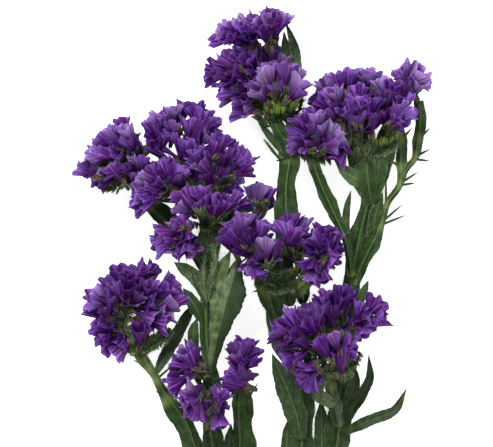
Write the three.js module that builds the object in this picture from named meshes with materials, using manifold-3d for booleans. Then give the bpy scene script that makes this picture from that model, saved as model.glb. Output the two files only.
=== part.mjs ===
// Statice (Limonium sinuatum): one cut, branched spray laid down on its side.
// The plan of the spray lies in the XY plane and its depth is along +Z. It rests on Z = 0 on the cut end
// of its stem and on the undersides of its outer flower heads.
import * as THREE from 'three';
import { mergeVertices } from 'three/addons/utils/BufferGeometryUtils.js';
import Module from 'manifold-3d';

// ---------------------------------------------------------------------------------------------------
// Driving dimensions, in millimetres unless the comment says otherwise
// ---------------------------------------------------------------------------------------------------
const PLAN_UNIT = 0.45; // side of one square of the plan grid
const PLAN_COLUMN = 246.5; // plan column that lies at x = 0 before the spray is centred
const PLAN_ROW = 447; // plan row that lies at y = 0 before the spray is centred
const GAP = 0.3; // clearance between neighbouring nodes
const BLADE = 0.8; // thickness of wings and leaves
const SEED = 20417; // start of every seeded draw

const CALYX = {
  sides: 5,
  mouth: 5.8, // greatest radius of the open papery mouth
  mouthSpread: 0.19, // share by which a mouth may be smaller than that
  throat: 0.9, // radius of the tube under the mouth
  flare: 6, // length of the flared part
  dish: 2.6, // depth of the hollow in the mouth
  root: 0.7, // how far the tube is sunk past the line that carries it
  pitch: 8, // spacing of the mouths along a row
  rowPitch: 7.6, // spacing of the rows of one spike
  tierReach: 0.62, // where the inner tier of mouths stands between axis and crest
  tierLift: 5, // and how far it stands out of the crest's surface
  reach: 0.95, // least share of the way from axis to crest that a mouth reaches
  reachSpread: 0.08, // and how much further it may reach
  slip: 0.4, // how far a mouth may slip along its row, as a share of the pitch
  scatter: 1.6, // how far a mouth strays from its place
};
// Least distances of a new calyx: from the mouths of its own head and of other heads, of its middle from the
// middles and mouths of other heads, and of its middle and mouth from the axes of other heads.
const CLEAR = { own: 7.95, other: 9.8, middles: 5.9, crossed: 6.9, axis: 4.5, axisToMouth: 6.5 };
// The axis of a spike, which carries its calyces, as a chain of "links" bars between two of its points, and
// the short bar from a head's foot to its hub.
const AXIS = { radius: 1.5, tip: 1.0, sides: 4, links: 1, samples: 8 };
const HUB = { radius: 1.65, sides: 5, sunk: 0.6 };

// The small pointed leaves of a stem. For its clearance one grows at the foot and the tip by these multiples.
const SCALE = { radius: 1.1, sides: 3, footRoom: 2, tipRoom: 3 };

// A winged stem is built in segments of this length. Its wings ripple up and down, turning by "wave"
// radians a millimetre, and their reach swings by "ripple" of itself.
const WING = { step: 15, wave: 0.22, lift: 1.1, ripple: 0.2 };

// A leaf is built in segments of this length. Its half width runs from "foot" of the greatest one, swells
// with a sine raised to "fullness", and ends at "tip" of it. "skew" over 1 moves the widest place to the tip.
const LEAF = { step: 9, foot: 0.24, fullness: 0.8, tip: 0.12, skew: 0.85 };

const GROUND = { side: 1000, depth: 100 }; // the block that is cut away below the spray

const FINISH = {
  calyx: { colour: 0x4d2a86, roughness: 0.6 },
  stem: { colour: 0x3d5530, roughness: 0.75 },
  leaf: { colour: 0x35502f, roughness: 0.7 },
  pale: { colour: 0x6b8457, roughness: 0.7 },
};

// ---------------------------------------------------------------------------------------------------
// Layout: [column, row] or [column, row, height in mm] on the plan grid
// ---------------------------------------------------------------------------------------------------

// A winged stem: its line from root to top, the radius of its body and the greatest reach of its left and
// right wing. "reach" gives the share of that at each point of the line: the wings pinch in where a leaf or
// a branch grows. "scales" are the small pointed leaves on it, each from its foot to its tip.
const STEMS = [
  {
    name: 'stem_main',
    line: [[268, 736, 2.6], [270, 690, 6], [264, 635, 10], [246, 560, 14], [224, 490, 18], [212, 440, 20.5],
      [212, 400, 22], [207, 346, 24], [206, 300, 26], [210, 262, 27.5], [213, 224, 30]],
    radius: [2.9, 1.9],
    wings: [2.6, 3.6],
    reach: [0.5, 0.8, 1, 1, 1, 1, 0.8, 0.4, 0.35, 0.5, 0.4],
  },
  {
    name: 'stem_left_head',
    line: [[208, 275, 27], [190, 246, 25], [166, 222, 24], [144, 198, 24], [130, 179, 25]],
    radius: [1.5, 1.3],
    wings: [2.2, 4.6],
    reach: [0.3, 0.8, 1, 0.8, 0.4],
    scales: [[[178, 232, 25], [168, 240, 28]], [[150, 205, 24], [140, 214, 27]]],
  },
  {
    name: 'stem_lower_left',
    line: [[224, 492, 17.5], [206, 470, 18.5], [195, 447, 19.5], [187, 425, 20.5], [175, 408, 21.5],
      [164, 392, 22.5], [155, 376, 23.5], [146, 362, 24.5], [140, 353, 25], [134, 344, 25.5]],
    radius: [1.7, 1.3],
    wings: [6.2, 2.8],
    reach: [0.3, 0.9, 1, 0.95, 0.6, 0.3, 0.15, 0.3, 0.3, 0.2],
    scales: [[[150, 368, 24], [133, 360, 26]], [[143, 357, 25], [129, 355, 27]],
      [[169, 399, 22], [155, 391, 24.5]], [[157, 379, 23.5], [172, 366, 26]]],
  },
  {
    name: 'stem_lower_centre',
    line: [[229, 506, 16.5], [237, 470, 19], [240, 440, 21], [239, 415, 23], [239, 398, 25], [242, 384, 27]],
    radius: [1.6, 1.3],
    wings: [2.2, 7.2],
    reach: [0.3, 0.9, 1, 1, 0.7, 0.2],
    scales: [[[246, 402, 24.5], [258, 383, 27]]],
  },
  {
    name: 'stem_lower_head',
    line: [[212, 438, 20.5], [208, 420, 27], [207, 412, 29], [204, 392, 30]],
    radius: [1.4, 1.2],
    wings: [1.6, 1.6],
    reach: [0.6, 1, 1, 0.4],
    scales: [[[210, 428, 24], [203, 440, 30]], [[209, 424, 26], [216, 440, 31]]],
  },
  {
    name: 'stem_crest',
    line: [[266, 642, 10], [290, 566, 13], [302, 500, 16], [302, 447, 18], [302, 414, 20], [295, 372, 20],
      [280, 332, 20], [274, 304, 21], [281, 270, 22], [286, 228, 23], [286, 186, 24], [289, 157, 25],
      [284, 136, 26], [276, 120, 26]],
    radius: [2.2, 1.5],
    wings: [4.2, 4.6],
    reach: [0.4, 0.8, 1, 1, 1, 0.9, 0.9, 0.9, 1, 0.9, 0.95, 0.8, 0.4, 0.3],
    scales: [[[290, 158, 25], [275, 161, 28]], [[290, 157, 25], [303, 155, 28]],
      [[284, 134, 26], [300, 122, 29]], [[278, 124, 26], [262, 128, 30]]],
  },
  {
    name: 'stem_corymb',
    line: [[299, 526, 15], [324, 484, 16], [337, 447, 17], [340, 416, 18], [344, 380, 18], [349, 320, 19],
      [353, 275, 20], [360, 235, 22], [367, 206, 24], [369, 182, 25.5], [367, 164, 26.5]],
    radius: [2.0, 1.5],
    wings: [4.6, 4.0],
    reach: [0.4, 0.9, 1, 1, 0.9, 0.8, 0.75, 0.8, 0.45, 0.7, 1.3],
    scales: [[[370, 200, 24.5], [386, 178, 27]], [[368, 176, 26], [350, 184, 29]],
      [[367, 168, 26], [384, 150, 30]]],
  },
  {
    name: 'branch_corymb_right',
    line: [[354, 284, 20], [363, 262, 22.5], [373, 242, 24.5], [381, 224, 25], [388, 202, 26],
      [400, 184, 26], [401, 160, 26], [401, 140, 27], [398, 126, 28]],
    radius: [1.4, 1.2],
    wings: [1.6, 2.8],
    reach: [0.4, 1, 1, 0.15, 0.12, 0.15, 0.8, 0.9, 0.6],
    scales: [[[381, 223, 25], [403, 204, 28]], [[381, 225, 25], [406, 215, 29]],
      [[386, 205, 26], [386, 177, 29]], [[401, 183, 26], [418, 172, 29]],
      [[401, 185, 26], [415, 183, 29]], [[401, 168, 26], [389, 159, 29]],
      [[401, 140, 27], [412, 128, 30]]],
  },
  {
    name: 'branch_far_right',
    line: [[401, 178, 26], [408, 167, 25], [415, 158, 24.5], [418, 140, 24], [421, 118, 24],
      [418, 101, 24.5]],
    radius: [1.2, 1.1],
    wings: [2.2, 2.6],
    reach: [0.1, 0.1, 0.15, 0.7, 1, 0.5],
    scales: [[[415, 157, 24.5], [430, 149, 27]], [[415, 159, 24.5], [430, 161, 25]],
      [[420, 138, 24], [430, 128, 26]]],
  },
  {
    name: 'branch_diagonal',
    line: [[352, 276, 22], [346, 240, 29], [339, 224, 30], [330, 205, 31], [319, 180, 33], [311, 156, 33.5]],
    radius: [1.3, 1.3],
    wings: [2.2, 2.4],
    reach: [0.3, 0.3, 0.6, 0.85, 1, 0.8],
    scales: [[[311, 160, 33], [298, 150, 35]], [[312, 162, 33], [329, 158, 37]]],
  },
  {
    name: 'branch_centre',
    line: [[278, 322, 21], [270, 300, 30], [264, 283, 35], [261, 273, 36.5]],
    radius: [1.3, 1.2],
    wings: [3.4, 3.4],
    reach: [0.4, 1, 1, 0.6],
    scales: [[[266, 288, 33], [252, 292, 35]], [[268, 292, 32], [286, 286, 36]]],
  },
  {
    name: 'branch_centre_right',
    line: [[275, 298, 22], [292, 292, 28], [307, 280, 31.5], [314, 270, 33.5]],
    radius: [1.3, 1.2],
    wings: [2.6, 2.6],
    reach: [0.4, 1, 0.9, 0.5],
    scales: [[[298, 288, 30], [304, 300, 33]], [[304, 284, 31], [296, 272, 34]]],
  },
  {
    name: 'branch_lower_right',
    line: [[339, 426, 19], [334, 402, 29], [328, 380, 37], [324, 364, 40]],
    radius: [1.4, 1.2],
    wings: [2.2, 2.2],
    reach: [0.4, 1, 1, 0.6],
    scales: [[[326, 374, 38], [346, 366, 42]], [[330, 386, 35], [346, 377, 39]]],
  },
];

// A leaf: its line from foot to tip, its greatest half width, how far its edges fold up (down where it is
// negative), and its skew where that isn't the usual one.
const LEAVES = [
  {
    name: 'leaf_centre',
    line: [[211, 372, 24.8], [215, 350, 29], [220, 326, 32], [227, 300, 33.5], [234, 276, 33],
      [240, 256, 31.5]],
    half: 8.0,
    fold: -2.6,
    skew: 2.2,
    pale: true,
  },
  {
    name: 'leaf_centre_left',
    line: [[206, 292, 28], [194, 276, 32.5], [174, 262, 33]],
    half: 3.4,
    fold: 0.8,
    pale: true,
  },
  {
    name: 'leaf_lower_left',
    line: [[210, 384, 24.5], [198, 362, 30], [184, 338, 31]],
    half: 2.8,
    fold: 0.7,
  },
  {
    name: 'leaf_strap',
    line: [[155, 375, 23.3], [171, 345, 20], [186, 318, 20], [197, 298, 21]],
    half: 3.0,
    fold: 0.6,
  },
  {
    name: 'leaf_right_low',
    line: [[339, 436, 18], [356, 427, 24], [376, 418, 26], [394, 411, 25], [407, 388, 27]],
    half: 2.6,
    fold: 0.7,
  },
  {
    name: 'leaf_right_high',
    line: [[341, 432, 17], [353, 410, 18], [363, 394, 19], [370, 378, 19], [369, 355, 21]],
    half: 2.4,
    fold: 0.7,
  },
  {
    name: 'leaf_right_wing',
    line: [[341, 412, 22], [353, 390, 26], [352, 360, 29]],
    half: 3.0,
    fold: 0.8,
  },
  {
    name: 'leaf_lower_centre',
    line: [[302, 440, 21.2], [296, 414, 24.5], [285, 384, 26], [272, 354, 26]],
    half: 5.2,
    fold: 0.9,
  },
  {
    name: 'leaf_under_head',
    line: [[334, 405, 29.5], [320, 396, 36], [304, 384, 39]],
    half: 3.0,
    fold: 0.8,
    pale: true,
  },
  {
    name: 'leaf_corymb',
    line: [[368, 184, 27.2], [354, 178, 32], [336, 164, 34]],
    half: 3.4,
    fold: 0.8,
    pale: true,
  },
  {
    name: 'leaf_diagonal',
    line: [[348, 246, 27.5], [346, 215, 27], [351, 190, 29]],
    half: 1.8,
    fold: 0.5,
  },
  {
    name: 'leaf_crest',
    line: [[279, 122, 25.3], [288, 102, 22.5], [296, 64, 19], [293, 42, 18], [285, 20, 20]],
    half: 2.8,
    fold: 0.8,
  },
];

// A head: the foot on its stem, the hub from which the axes of its spikes leave, and the spikes. A spike
// has its axis ("roots") and its crest of calyx mouths ("tips"), with the heights of both in mm, the number
// of rows across the crest and the number of tiers between axis and crest. Its axis leaves the hub and
// passes "via" where that is given.
const HEADS = [
  {
    name: 'head_centre',
    foot: [261, 273, 36.5],
    hub: [256, 260, 38.5],
    spikes: [
      {
        roots: [[248, 252], [254, 246]],
        tips: [[222, 238], [227, 223], [242, 214], [257, 213], [266, 224]],
        heights: [40, 47],
        rows: 2,
        tiers: 1,
      },
      {
        roots: [[262, 262], [270, 258]],
        tips: [[262, 236], [276, 236], [284, 248]],
        heights: [42, 50],
        rows: 1,
        tiers: 1,
      },
      {
        roots: [[250, 264], [256, 268]],
        tips: [[238, 264], [248, 278], [266, 281]],
        heights: [40, 47],
        rows: 1,
        tiers: 1,
      },
      {
        roots: [[250, 256], [262, 252]],
        tips: [[232, 244], [246, 228], [268, 232]],
        heights: [32, 21],
        rows: 1,
        tiers: 1,
      },
    ],
  },
  {
    name: 'head_centre_top',
    foot: [307, 280, 31.5],
    hub: [299, 268, 33],
    spikes: [
      {
        roots: [[294, 252], [290, 244]],
        tips: [[277, 226], [290, 213], [304, 221], [306, 240]],
        heights: [34, 38],
        rows: 2,
        tiers: 1,
      },
      {
        roots: [[296, 258], [302, 252]],
        tips: [[280, 248], [290, 238], [306, 248]],
        heights: [30, 24],
        rows: 1,
        tiers: 1,
      },
    ],
  },
  {
    name: 'head_centre_right',
    foot: [314, 270, 33.5],
    hub: [320, 262, 35],
    spikes: [
      {
        roots: [[318, 254], [326, 250], [330, 258]],
        tips: [[304, 238], [314, 227], [327, 224], [337, 236], [340, 252], [332, 276]],
        heights: [35, 39],
        rows: 2,
        tiers: 1,
      },
      {
        roots: [[319, 268], [311, 265]],
        tips: [[322, 285], [308, 281], [298, 268]],
        heights: [37, 41],
        rows: 1,
        tiers: 1,
      },
      {
        roots: [[318, 260], [326, 256]],
        tips: [[308, 246], [320, 236], [336, 244]],
        heights: [27, 16],
        rows: 1,
        tiers: 1,
      },
    ],
  },
  {
    name: 'head_lower_right',
    foot: [324, 364, 40],
    hub: [322, 352, 42],
    spikes: [
      {
        roots: [[304, 342], [314, 330]],
        tips: [[270, 336], [272, 319], [284, 310], [300, 308], [312, 314]],
        heights: [43, 50],
        rows: 2,
        tiers: 2,
      },
      {
        roots: [[306, 354], [296, 352]],
        tips: [[282, 364], [269, 352]],
        heights: [43, 48],
        rows: 1,
        tiers: 1,
      },
      {
        roots: [[316, 366], [310, 370]],
        tips: [[308, 390], [293, 378], [294, 362]],
        heights: [45, 53],
        rows: 1,
        tiers: 1,
      },
      {
        roots: [[330, 358], [338, 356]],
        tips: [[317, 338], [330, 330], [344, 336]],
        heights: [47, 56],
        rows: 1,
        tiers: 1,
      },
      {
        roots: [[326, 326], [344, 318]],
        tips: [[315, 300], [326, 290], [342, 284], [355, 292]],
        heights: [39, 43],
        rows: 2,
        tiers: 1,
      },
      {
        via: [344, 338, 42],
        roots: [[356, 330], [362, 320]],
        tips: [[362, 302], [375, 296], [389, 305], [379, 326], [366, 340]],
        heights: [41, 45],
        rows: 1,
        tiers: 1,
      },
      {
        roots: [[338, 354], [346, 352]],
        tips: [[352, 336], [362, 350]],
        heights: [43, 48],
        rows: 1,
        tiers: 1,
      },
      {
        roots: [[312, 342], [340, 334]],
        tips: [[286, 330], [300, 306], [330, 298], [356, 312], [362, 334]],
        heights: [34, 22],
        rows: 1,
        tiers: 2,
      },
    ],
  },
  {
    name: 'head_crest',
    foot: [276, 120, 26],
    hub: [268, 106, 28],
    spikes: [
      {
        via: [264, 74, 26],
        roots: [[238, 44], [262, 35], [278, 29]],
        tips: [[214, 37], [223, 27], [240, 20], [258, 14], [277, 7], [287, 14]],
        heights: [25, 27],
        rows: 3,
        tiers: 2,
      },
      {
        roots: [[252, 100], [247, 78], [254, 66]],
        tips: [[222, 97], [212, 90], [205, 76], [214, 60], [232, 48], [248, 46]],
        heights: [29, 33],
        rows: 2,
        tiers: 2,
      },
      {
        roots: [[262, 86], [276, 76]],
        tips: [[243, 50], [256, 40], [271, 40], [286, 50]],
        heights: [22, 18],
        rows: 2,
        tiers: 1,
      },
      {
        roots: [[270, 100], [292, 98]],
        tips: [[250, 82], [260, 67], [279, 62], [297, 67], [306, 78]],
        heights: [34, 42],
        rows: 2,
        tiers: 2,
      },
      {
        roots: [[256, 112], [248, 109]],
        tips: [[228, 98], [228, 116]],
        heights: [31, 35],
        rows: 1,
        tiers: 1,
      },
      {
        roots: [[260, 94], [282, 88]],
        tips: [[232, 80], [240, 56], [268, 46], [292, 56], [300, 80]],
        heights: [18, 3],
        rows: 2,
        tiers: 2,
      },
    ],
  },
  {
    name: 'head_far_right',
    foot: [418, 101, 24.5],
    hub: [412, 91, 25],
    spikes: [
      {
        roots: [[409, 86], [417, 82]],
        tips: [[394, 66], [404, 60], [417, 64], [427, 73], [433, 86]],
        heights: [24, 26],
        rows: 2,
        tiers: 1,
      },
    ],
  },
  {
    name: 'head_corymb_left',
    foot: [312, 156, 33.5],
    hub: [314, 143, 35],
    spikes: [
      {
        roots: [[306, 142], [322, 136]],
        tips: [[285, 148], [290, 133], [300, 111], [311, 106], [320, 120]],
        heights: [35, 40],
        rows: 2,
        tiers: 2,
      },
    ],
  },
  {
    name: 'head_corymb_right',
    foot: [398, 126, 28],
    hub: [393, 117, 30],
    spikes: [
      {
        roots: [[404, 106], [386, 104]],
        tips: [[411, 92], [400, 82], [387, 77], [376, 78]],
        heights: [29, 34],
        rows: 2,
        tiers: 1,
      },
      {
        roots: [[390, 122], [400, 124]],
        tips: [[392, 104], [405, 102], [414, 111], [415, 122]],
        heights: [35, 41],
        rows: 2,
        tiers: 1,
      },
    ],
  },
  {
    name: 'head_corymb',
    foot: [367, 164, 26.5],
    hub: [359, 142, 28],
    spikes: [
      {
        via: [350, 118, 22],
        roots: [[328, 101], [350, 96], [376, 93]],
        tips: [[316, 80], [335, 73], [353, 70], [374, 68]],
        heights: [20, 19],
        rows: 3,
        tiers: 1,
      },
      {
        roots: [[350, 124], [332, 117]],
        tips: [[346, 90], [330, 87], [315, 92], [310, 101]],
        heights: [28, 35],
        rows: 2,
        tiers: 1,
      },
      {
        roots: [[352, 128], [374, 125]],
        tips: [[338, 101], [352, 96], [367, 97], [381, 99]],
        heights: [34, 43],
        rows: 2,
        tiers: 2,
      },
      {
        roots: [[343, 143], [336, 140]],
        tips: [[338, 166], [326, 160]],
        heights: [34, 38],
        rows: 1,
        tiers: 1,
      },
      {
        roots: [[344, 122], [384, 116]],
        tips: [[312, 116], [326, 92], [352, 84], [382, 86], [404, 104]],
        heights: [17, 3],
        rows: 2,
        tiers: 2,
      },
    ],
  },
  {
    name: 'head_left',
    foot: [130, 179, 25],
    hub: [122, 167, 26],
    spikes: [
      {
        roots: [[108, 178], [106, 160], [122, 148], [138, 146]],
        tips: [[97, 190], [88, 174], [73, 161], [96, 133], [112, 122], [130, 116]],
        heights: [26, 29],
        rows: 2,
        tiers: 2,
      },
      {
        via: [140, 158, 26],
        roots: [[152, 148], [180, 134]],
        tips: [[146, 119], [156, 111], [166, 107], [180, 101]],
        heights: [25, 26],
        rows: 3,
        tiers: 1,
      },
      {
        roots: [[112, 166], [134, 156]],
        tips: [[94, 178], [90, 152], [112, 134], [144, 130]],
        heights: [18, 3],
        rows: 2,
        tiers: 1,
      },
    ],
  },
  {
    name: 'head_upper_low',
    foot: [211, 248, 28.3],
    hub: [198, 243, 33],
    spikes: [
      {
        roots: [[190, 242], [180, 238]],
        tips: [[198, 254], [180, 258], [162, 253], [151, 238], [160, 223], [178, 215], [194, 222]],
        heights: [35, 42],
        rows: 2,
        tiers: 1,
      },
    ],
  },
  {
    name: 'head_upper',
    foot: [213, 224, 30],
    hub: [211, 210, 31.5],
    spikes: [
      {
        via: [204, 176, 29],
        roots: [[190, 150], [204, 136]],
        tips: [[186, 101], [200, 107], [214, 115], [220, 130]],
        heights: [25, 27],
        rows: 2,
        tiers: 2,
      },
      {
        via: [188, 202, 33],
        roots: [[158, 198], [170, 186], [182, 180]],
        tips: [[132, 208], [131, 190], [138, 175], [150, 164], [166, 160], [188, 168]],
        heights: [34, 40],
        rows: 2,
        tiers: 2,
      },
      {
        via: [192, 184, 33],
        roots: [[176, 166], [188, 160]],
        tips: [[152, 151], [163, 138], [178, 132], [193, 138]],
        heights: [34, 37],
        rows: 1,
        tiers: 1,
      },
      {
        roots: [[208, 180], [232, 176]],
        tips: [[190, 156], [200, 140], [220, 134], [241, 140], [253, 152], [254, 172]],
        heights: [33, 41],
        rows: 2,
        tiers: 2,
      },
      {
        roots: [[198, 210], [206, 204]],
        tips: [[174, 206], [181, 191], [196, 186], [210, 187]],
        heights: [39, 47],
        rows: 1,
        tiers: 1,
      },
      {
        roots: [[224, 210], [232, 206]],
        tips: [[236, 188], [249, 190], [254, 202], [244, 216]],
        heights: [36, 42],
        rows: 1,
        tiers: 1,
      },
      {
        via: [240, 212, 27],
        roots: [[256, 208], [268, 206]],
        tips: [[252, 188], [262, 182], [274, 188]],
        heights: [26, 25],
        rows: 2,
        tiers: 1,
      },
      {
        roots: [[196, 192], [222, 184]],
        tips: [[168, 190], [174, 168], [192, 150], [222, 148], [242, 166], [240, 190]],
        heights: [17, 3],
        rows: 2,
        tiers: 2,
      },
    ],
  },
  {
    name: 'head_lower_left',
    foot: [134, 344, 25.5],
    hub: [128, 333, 26.5],
    spikes: [
      {
        roots: [[117, 322], [119, 308], [134, 299], [146, 306], [149, 320]],
        tips: [[86, 306], [96, 287], [112, 271], [134, 266], [160, 264], [177, 275], [181, 296], [168, 328]],
        heights: [27, 33],
        rows: 2,
        tiers: 2,
      },
      {
        roots: [[122, 342], [114, 332]],
        tips: [[114, 360], [94, 342], [84, 318]],
        heights: [28, 31],
        rows: 1,
        tiers: 1,
      },
      {
        roots: [[140, 335], [151, 331]],
        tips: [[137, 319], [148, 314], [160, 320]],
        heights: [29, 33],
        rows: 1,
        tiers: 1,
      },
      {
        roots: [[122, 322], [126, 306], [142, 306]],
        tips: [[92, 318], [98, 292], [128, 276], [160, 282], [170, 306]],
        heights: [17, 3],
        rows: 2,
        tiers: 1,
      },
    ],
  },
  {
    name: 'head_lower',
    foot: [204, 392, 30],
    hub: [199, 382, 31],
    spikes: [
      {
        roots: [[196, 376], [194, 362]],
        tips: [[168, 394], [167, 378], [171, 361], [181, 349], [193, 347]],
        heights: [30, 34],
        rows: 2,
        tiers: 1,
      },
    ],
  },
  {
    name: 'head_lower_front',
    foot: [207, 412, 29],
    hub: [208, 404, 34],
    spikes: [
      {
        roots: [[204, 402], [199, 398]],
        tips: [[197, 422], [182, 412], [176, 397]],
        heights: [36, 43],
        rows: 1,
        tiers: 1,
      },
      {
        roots: [[212, 404], [217, 402]],
        tips: [[209, 386], [223, 386], [232, 400], [228, 422], [214, 430]],
        heights: [35, 41],
        rows: 1,
        tiers: 1,
      },
    ],
  },
  {
    name: 'head_lower_centre',
    foot: [242, 384, 27],
    hub: [241, 374, 29],
    spikes: [
      {
        roots: [[240, 367], [246, 360]],
        tips: [[227, 348], [239, 336], [252, 340], [261, 354]],
        heights: [30, 33],
        rows: 2,
        tiers: 1,
      },
      {
        roots: [[238, 380], [242, 382]],
        tips: [[223, 382], [228, 364], [242, 358], [255, 374]],
        heights: [34, 41],
        rows: 1,
        tiers: 1,
      },
    ],
  },
];

// ---------------------------------------------------------------------------------------------------
// Solids
// ---------------------------------------------------------------------------------------------------
const wasm = await Module();
wasm.setup();

const UP = new THREE.Vector3(0, 0, 1);

/** A point of the plan as a vector in millimetres. */
function at([column, row, height = 0]) {
  return new THREE.Vector3((column - PLAN_COLUMN) * PLAN_UNIT, (PLAN_ROW - row) * PLAN_UNIT, height);
}

/** A smooth curve through plan points; heights come from the points, or run from the first to the last. */
function curveThrough(points, lowest, highest = lowest) {
  const last = points.length - 1;
  const through = points.map(([column, row, height], index) => {
    const run = last > 0 ? index / last : 0;
    return at([column, row, height ?? lowest + (highest - lowest) * run]);
  });
  return new THREE.CatmullRomCurve3(through, false, 'centripetal');
}

/** A seeded random number generator (mulberry32), one draw in 0..1 per call. */
function seeded(seed) {
  let state = seed >>> 0;
  return () => {
    state = (state + 0x6d2b79f5) >>> 0;
    let mixed = Math.imul(state ^ (state >>> 15), 1 | state);
    mixed = (mixed + Math.imul(mixed ^ (mixed >>> 7), 61 | mixed)) ^ mixed;
    return ((mixed ^ (mixed >>> 14)) >>> 0) / 4294967296;
  };
}

/** A manifold solid from points and triangles. */
function solidFrom(points, triangles) {
  const vertProperties = new Float32Array(points.flatMap((point) => [point.x, point.y, point.z]));
  const triVerts = new Uint32Array(triangles.flat());
  return new wasm.Manifold(new wasm.Mesh({ numProp: 3, vertProperties, triVerts }));
}

/** A closed loft of equal rings. Each ring runs along one face and back along the other; both faces are
 *  split along the same diagonals, so that a thin waved blade never crosses itself. */
function loft(rings) {
  const count = rings[0].length;
  const half = count / 2;
  const triangles = [];
  const index = (ring, side) => ring * count + (side % count);
  for (let ring = 0; ring < rings.length - 1; ring += 1) {
    for (let side = 0; side < count; side += 1) {
      const a = index(ring, side);
      const b = index(ring, side + 1);
      const c = index(ring + 1, side + 1);
      const d = index(ring + 1, side);
      triangles.push(...(side < half ? [[a, b, c], [a, c, d]] : [[a, b, d], [b, c, d]]));
    }
  }
  const last = rings.length - 1;
  for (let side = 0; side < half - 1; side += 1) {
    const mirror = count - 1 - side;
    triangles.push([index(0, side), index(0, mirror), index(0, side + 1)]);
    triangles.push([index(last, side), index(last, side + 1), index(last, mirror)]);
    if (side + 1 < mirror - 1) {
      triangles.push([index(0, side + 1), index(0, mirror), index(0, mirror - 1)]);
      triangles.push([index(last, side + 1), index(last, mirror - 1), index(last, mirror)]);
    }
  }
  return solidFrom(rings.flat(), triangles);
}

/** The point, direction and level sideways direction of a curve at a share of its length. */
function stationOn(curve, share) {
  const centre = curve.getPointAt(share);
  const along = curve.getTangentAt(share).normalize();
  const side = new THREE.Vector3().crossVectors(along, UP).normalize();
  const rise = new THREE.Vector3().crossVectors(side, along).normalize();
  return { centre, along, side, rise };
}

/** A round bar of a few sides along a chain of points, lengthened at both ends by "grow". */
function bar(chain, sides, startRadius, endRadius, grow = 0) {
  const last = chain.length - 1;
  const rings = chain.map((centre, link) => {
    const along = chain[Math.min(last, link + 1)].clone().sub(chain[Math.max(0, link - 1)]).normalize();
    const side = new THREE.Vector3().crossVectors(along, UP).normalize();
    const rise = new THREE.Vector3().crossVectors(side, along).normalize();
    const push = link === 0 ? -grow : link === last ? grow : 0;
    const radius = THREE.MathUtils.lerp(startRadius, endRadius, link / last) + grow;
    return Array.from({ length: sides }, (_, corner) => {
      const angle = (2 * Math.PI * (corner + 0.5)) / sides;
      return centre.clone()
        .addScaledVector(along, push)
        .addScaledVector(side, radius * Math.cos(angle))
        .addScaledVector(rise, -radius * Math.sin(angle));
    });
  });
  return closedTube(rings);
}

/** A closed tube of equal rings with a fan of triangles at each end. */
function closedTube(rings) {
  const count = rings[0].length;
  const points = rings.flat();
  const triangles = [];
  for (let ring = 0; ring < rings.length - 1; ring += 1) {
    for (let side = 0; side < count; side += 1) {
      const a = ring * count + side;
      const b = ring * count + ((side + 1) % count);
      triangles.push([a, b, b + count], [a, b + count, a + count]);
    }
  }
  const end = (rings.length - 1) * count;
  for (let side = 1; side < count - 1; side += 1) {
    triangles.push([0, side + 1, side], [end, end + side, end + side + 1]);
  }
  return solidFrom(points, triangles);
}

/** A three-sided spike from a foot to a tip. */
function thorn(foot, tip, radius) {
  const along = tip.clone().sub(foot).normalize();
  const side = new THREE.Vector3().crossVectors(along, UP).normalize();
  const rise = new THREE.Vector3().crossVectors(side, along);
  const ring = Array.from({ length: SCALE.sides }, (_, corner) => {
    const angle = (2 * Math.PI * corner) / SCALE.sides;
    return foot.clone()
      .addScaledVector(side, radius * Math.cos(angle))
      .addScaledVector(rise, -radius * Math.sin(angle));
  });
  return solidFrom([...ring, tip], [[0, 2, 1], [0, 1, 3], [1, 2, 3], [2, 0, 3]]);
}

/** The union of a list of solids. */
function joined(solids) {
  return wasm.Manifold.union(solids);
}

/** The largest body of a solid: loose scraps left by a cut are dropped. */
function largestBody(solid) {
  return solid.decompose().reduce((best, body) => (body.volume() > best.volume() ? body : best));
}

// ---------------------------------------------------------------------------------------------------
// Stems and leaves
// ---------------------------------------------------------------------------------------------------

/** The share of a wing's greatest reach at a share of a stem's length, between the points of its line. */
function reachAt(stem, curve, share) {
  const along = curve.getUtoTmapping(share) * (stem.reach.length - 1);
  const before = Math.min(Math.floor(along), stem.reach.length - 2);
  return THREE.MathUtils.lerp(stem.reach[before], stem.reach[before + 1], along - before);
}

/** A winged stem: a ridged body with a thin waved wing on each side, as one loft. */
function wingedStem(stem, grow = 0) {
  const curve = curveThrough(stem.line);
  const length = curve.getLength();
  const segments = Math.max(3, Math.round(length / WING.step));
  const half = BLADE / 2 + grow;
  const rings = [];
  for (let segment = 0; segment <= segments; segment += 1) {
    const share = segment / segments;
    const { centre, along, side, rise } = stationOn(curve, share);
    const push = segment === 0 ? -grow : segment === segments ? grow : 0;
    const radius = THREE.MathUtils.lerp(stem.radius[0], stem.radius[1], share) + grow;
    const wave = Math.sin(share * length * WING.wave + stem.line[0][0]);
    const swell = reachAt(stem, curve, share) * (1 - WING.ripple + WING.ripple * wave);
    const wing = stem.wings.map((reach) => reach * swell + radius + grow);
    const lift = WING.lift * wave;
    const place = (across, height) => centre.clone()
      .addScaledVector(along, push)
      .addScaledVector(side, across)
      .addScaledVector(rise, height);
    rings.push([
      place(-wing[0], lift + half),
      place(-radius, half),
      place(0, radius),
      place(radius, half),
      place(wing[1], -lift + half),
      place(wing[1], -lift - half),
      place(radius, -half),
      place(0, -radius),
      place(-radius, -half),
      place(-wing[0], lift - half),
    ]);
  }
  return loft(rings);
}

/** The small pointed leaves of a stem. */
function stemScales(stem, grow = 0) {
  return (stem.scales ?? []).map(([foot, tip]) => {
    const direction = at(tip).sub(at(foot)).normalize();
    const start = at(foot).addScaledVector(direction, -grow);
    const end = at(tip).addScaledVector(direction, grow * SCALE.tipRoom);
    return thorn(start, end, SCALE.radius + grow * SCALE.footRoom);
  });
}

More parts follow.
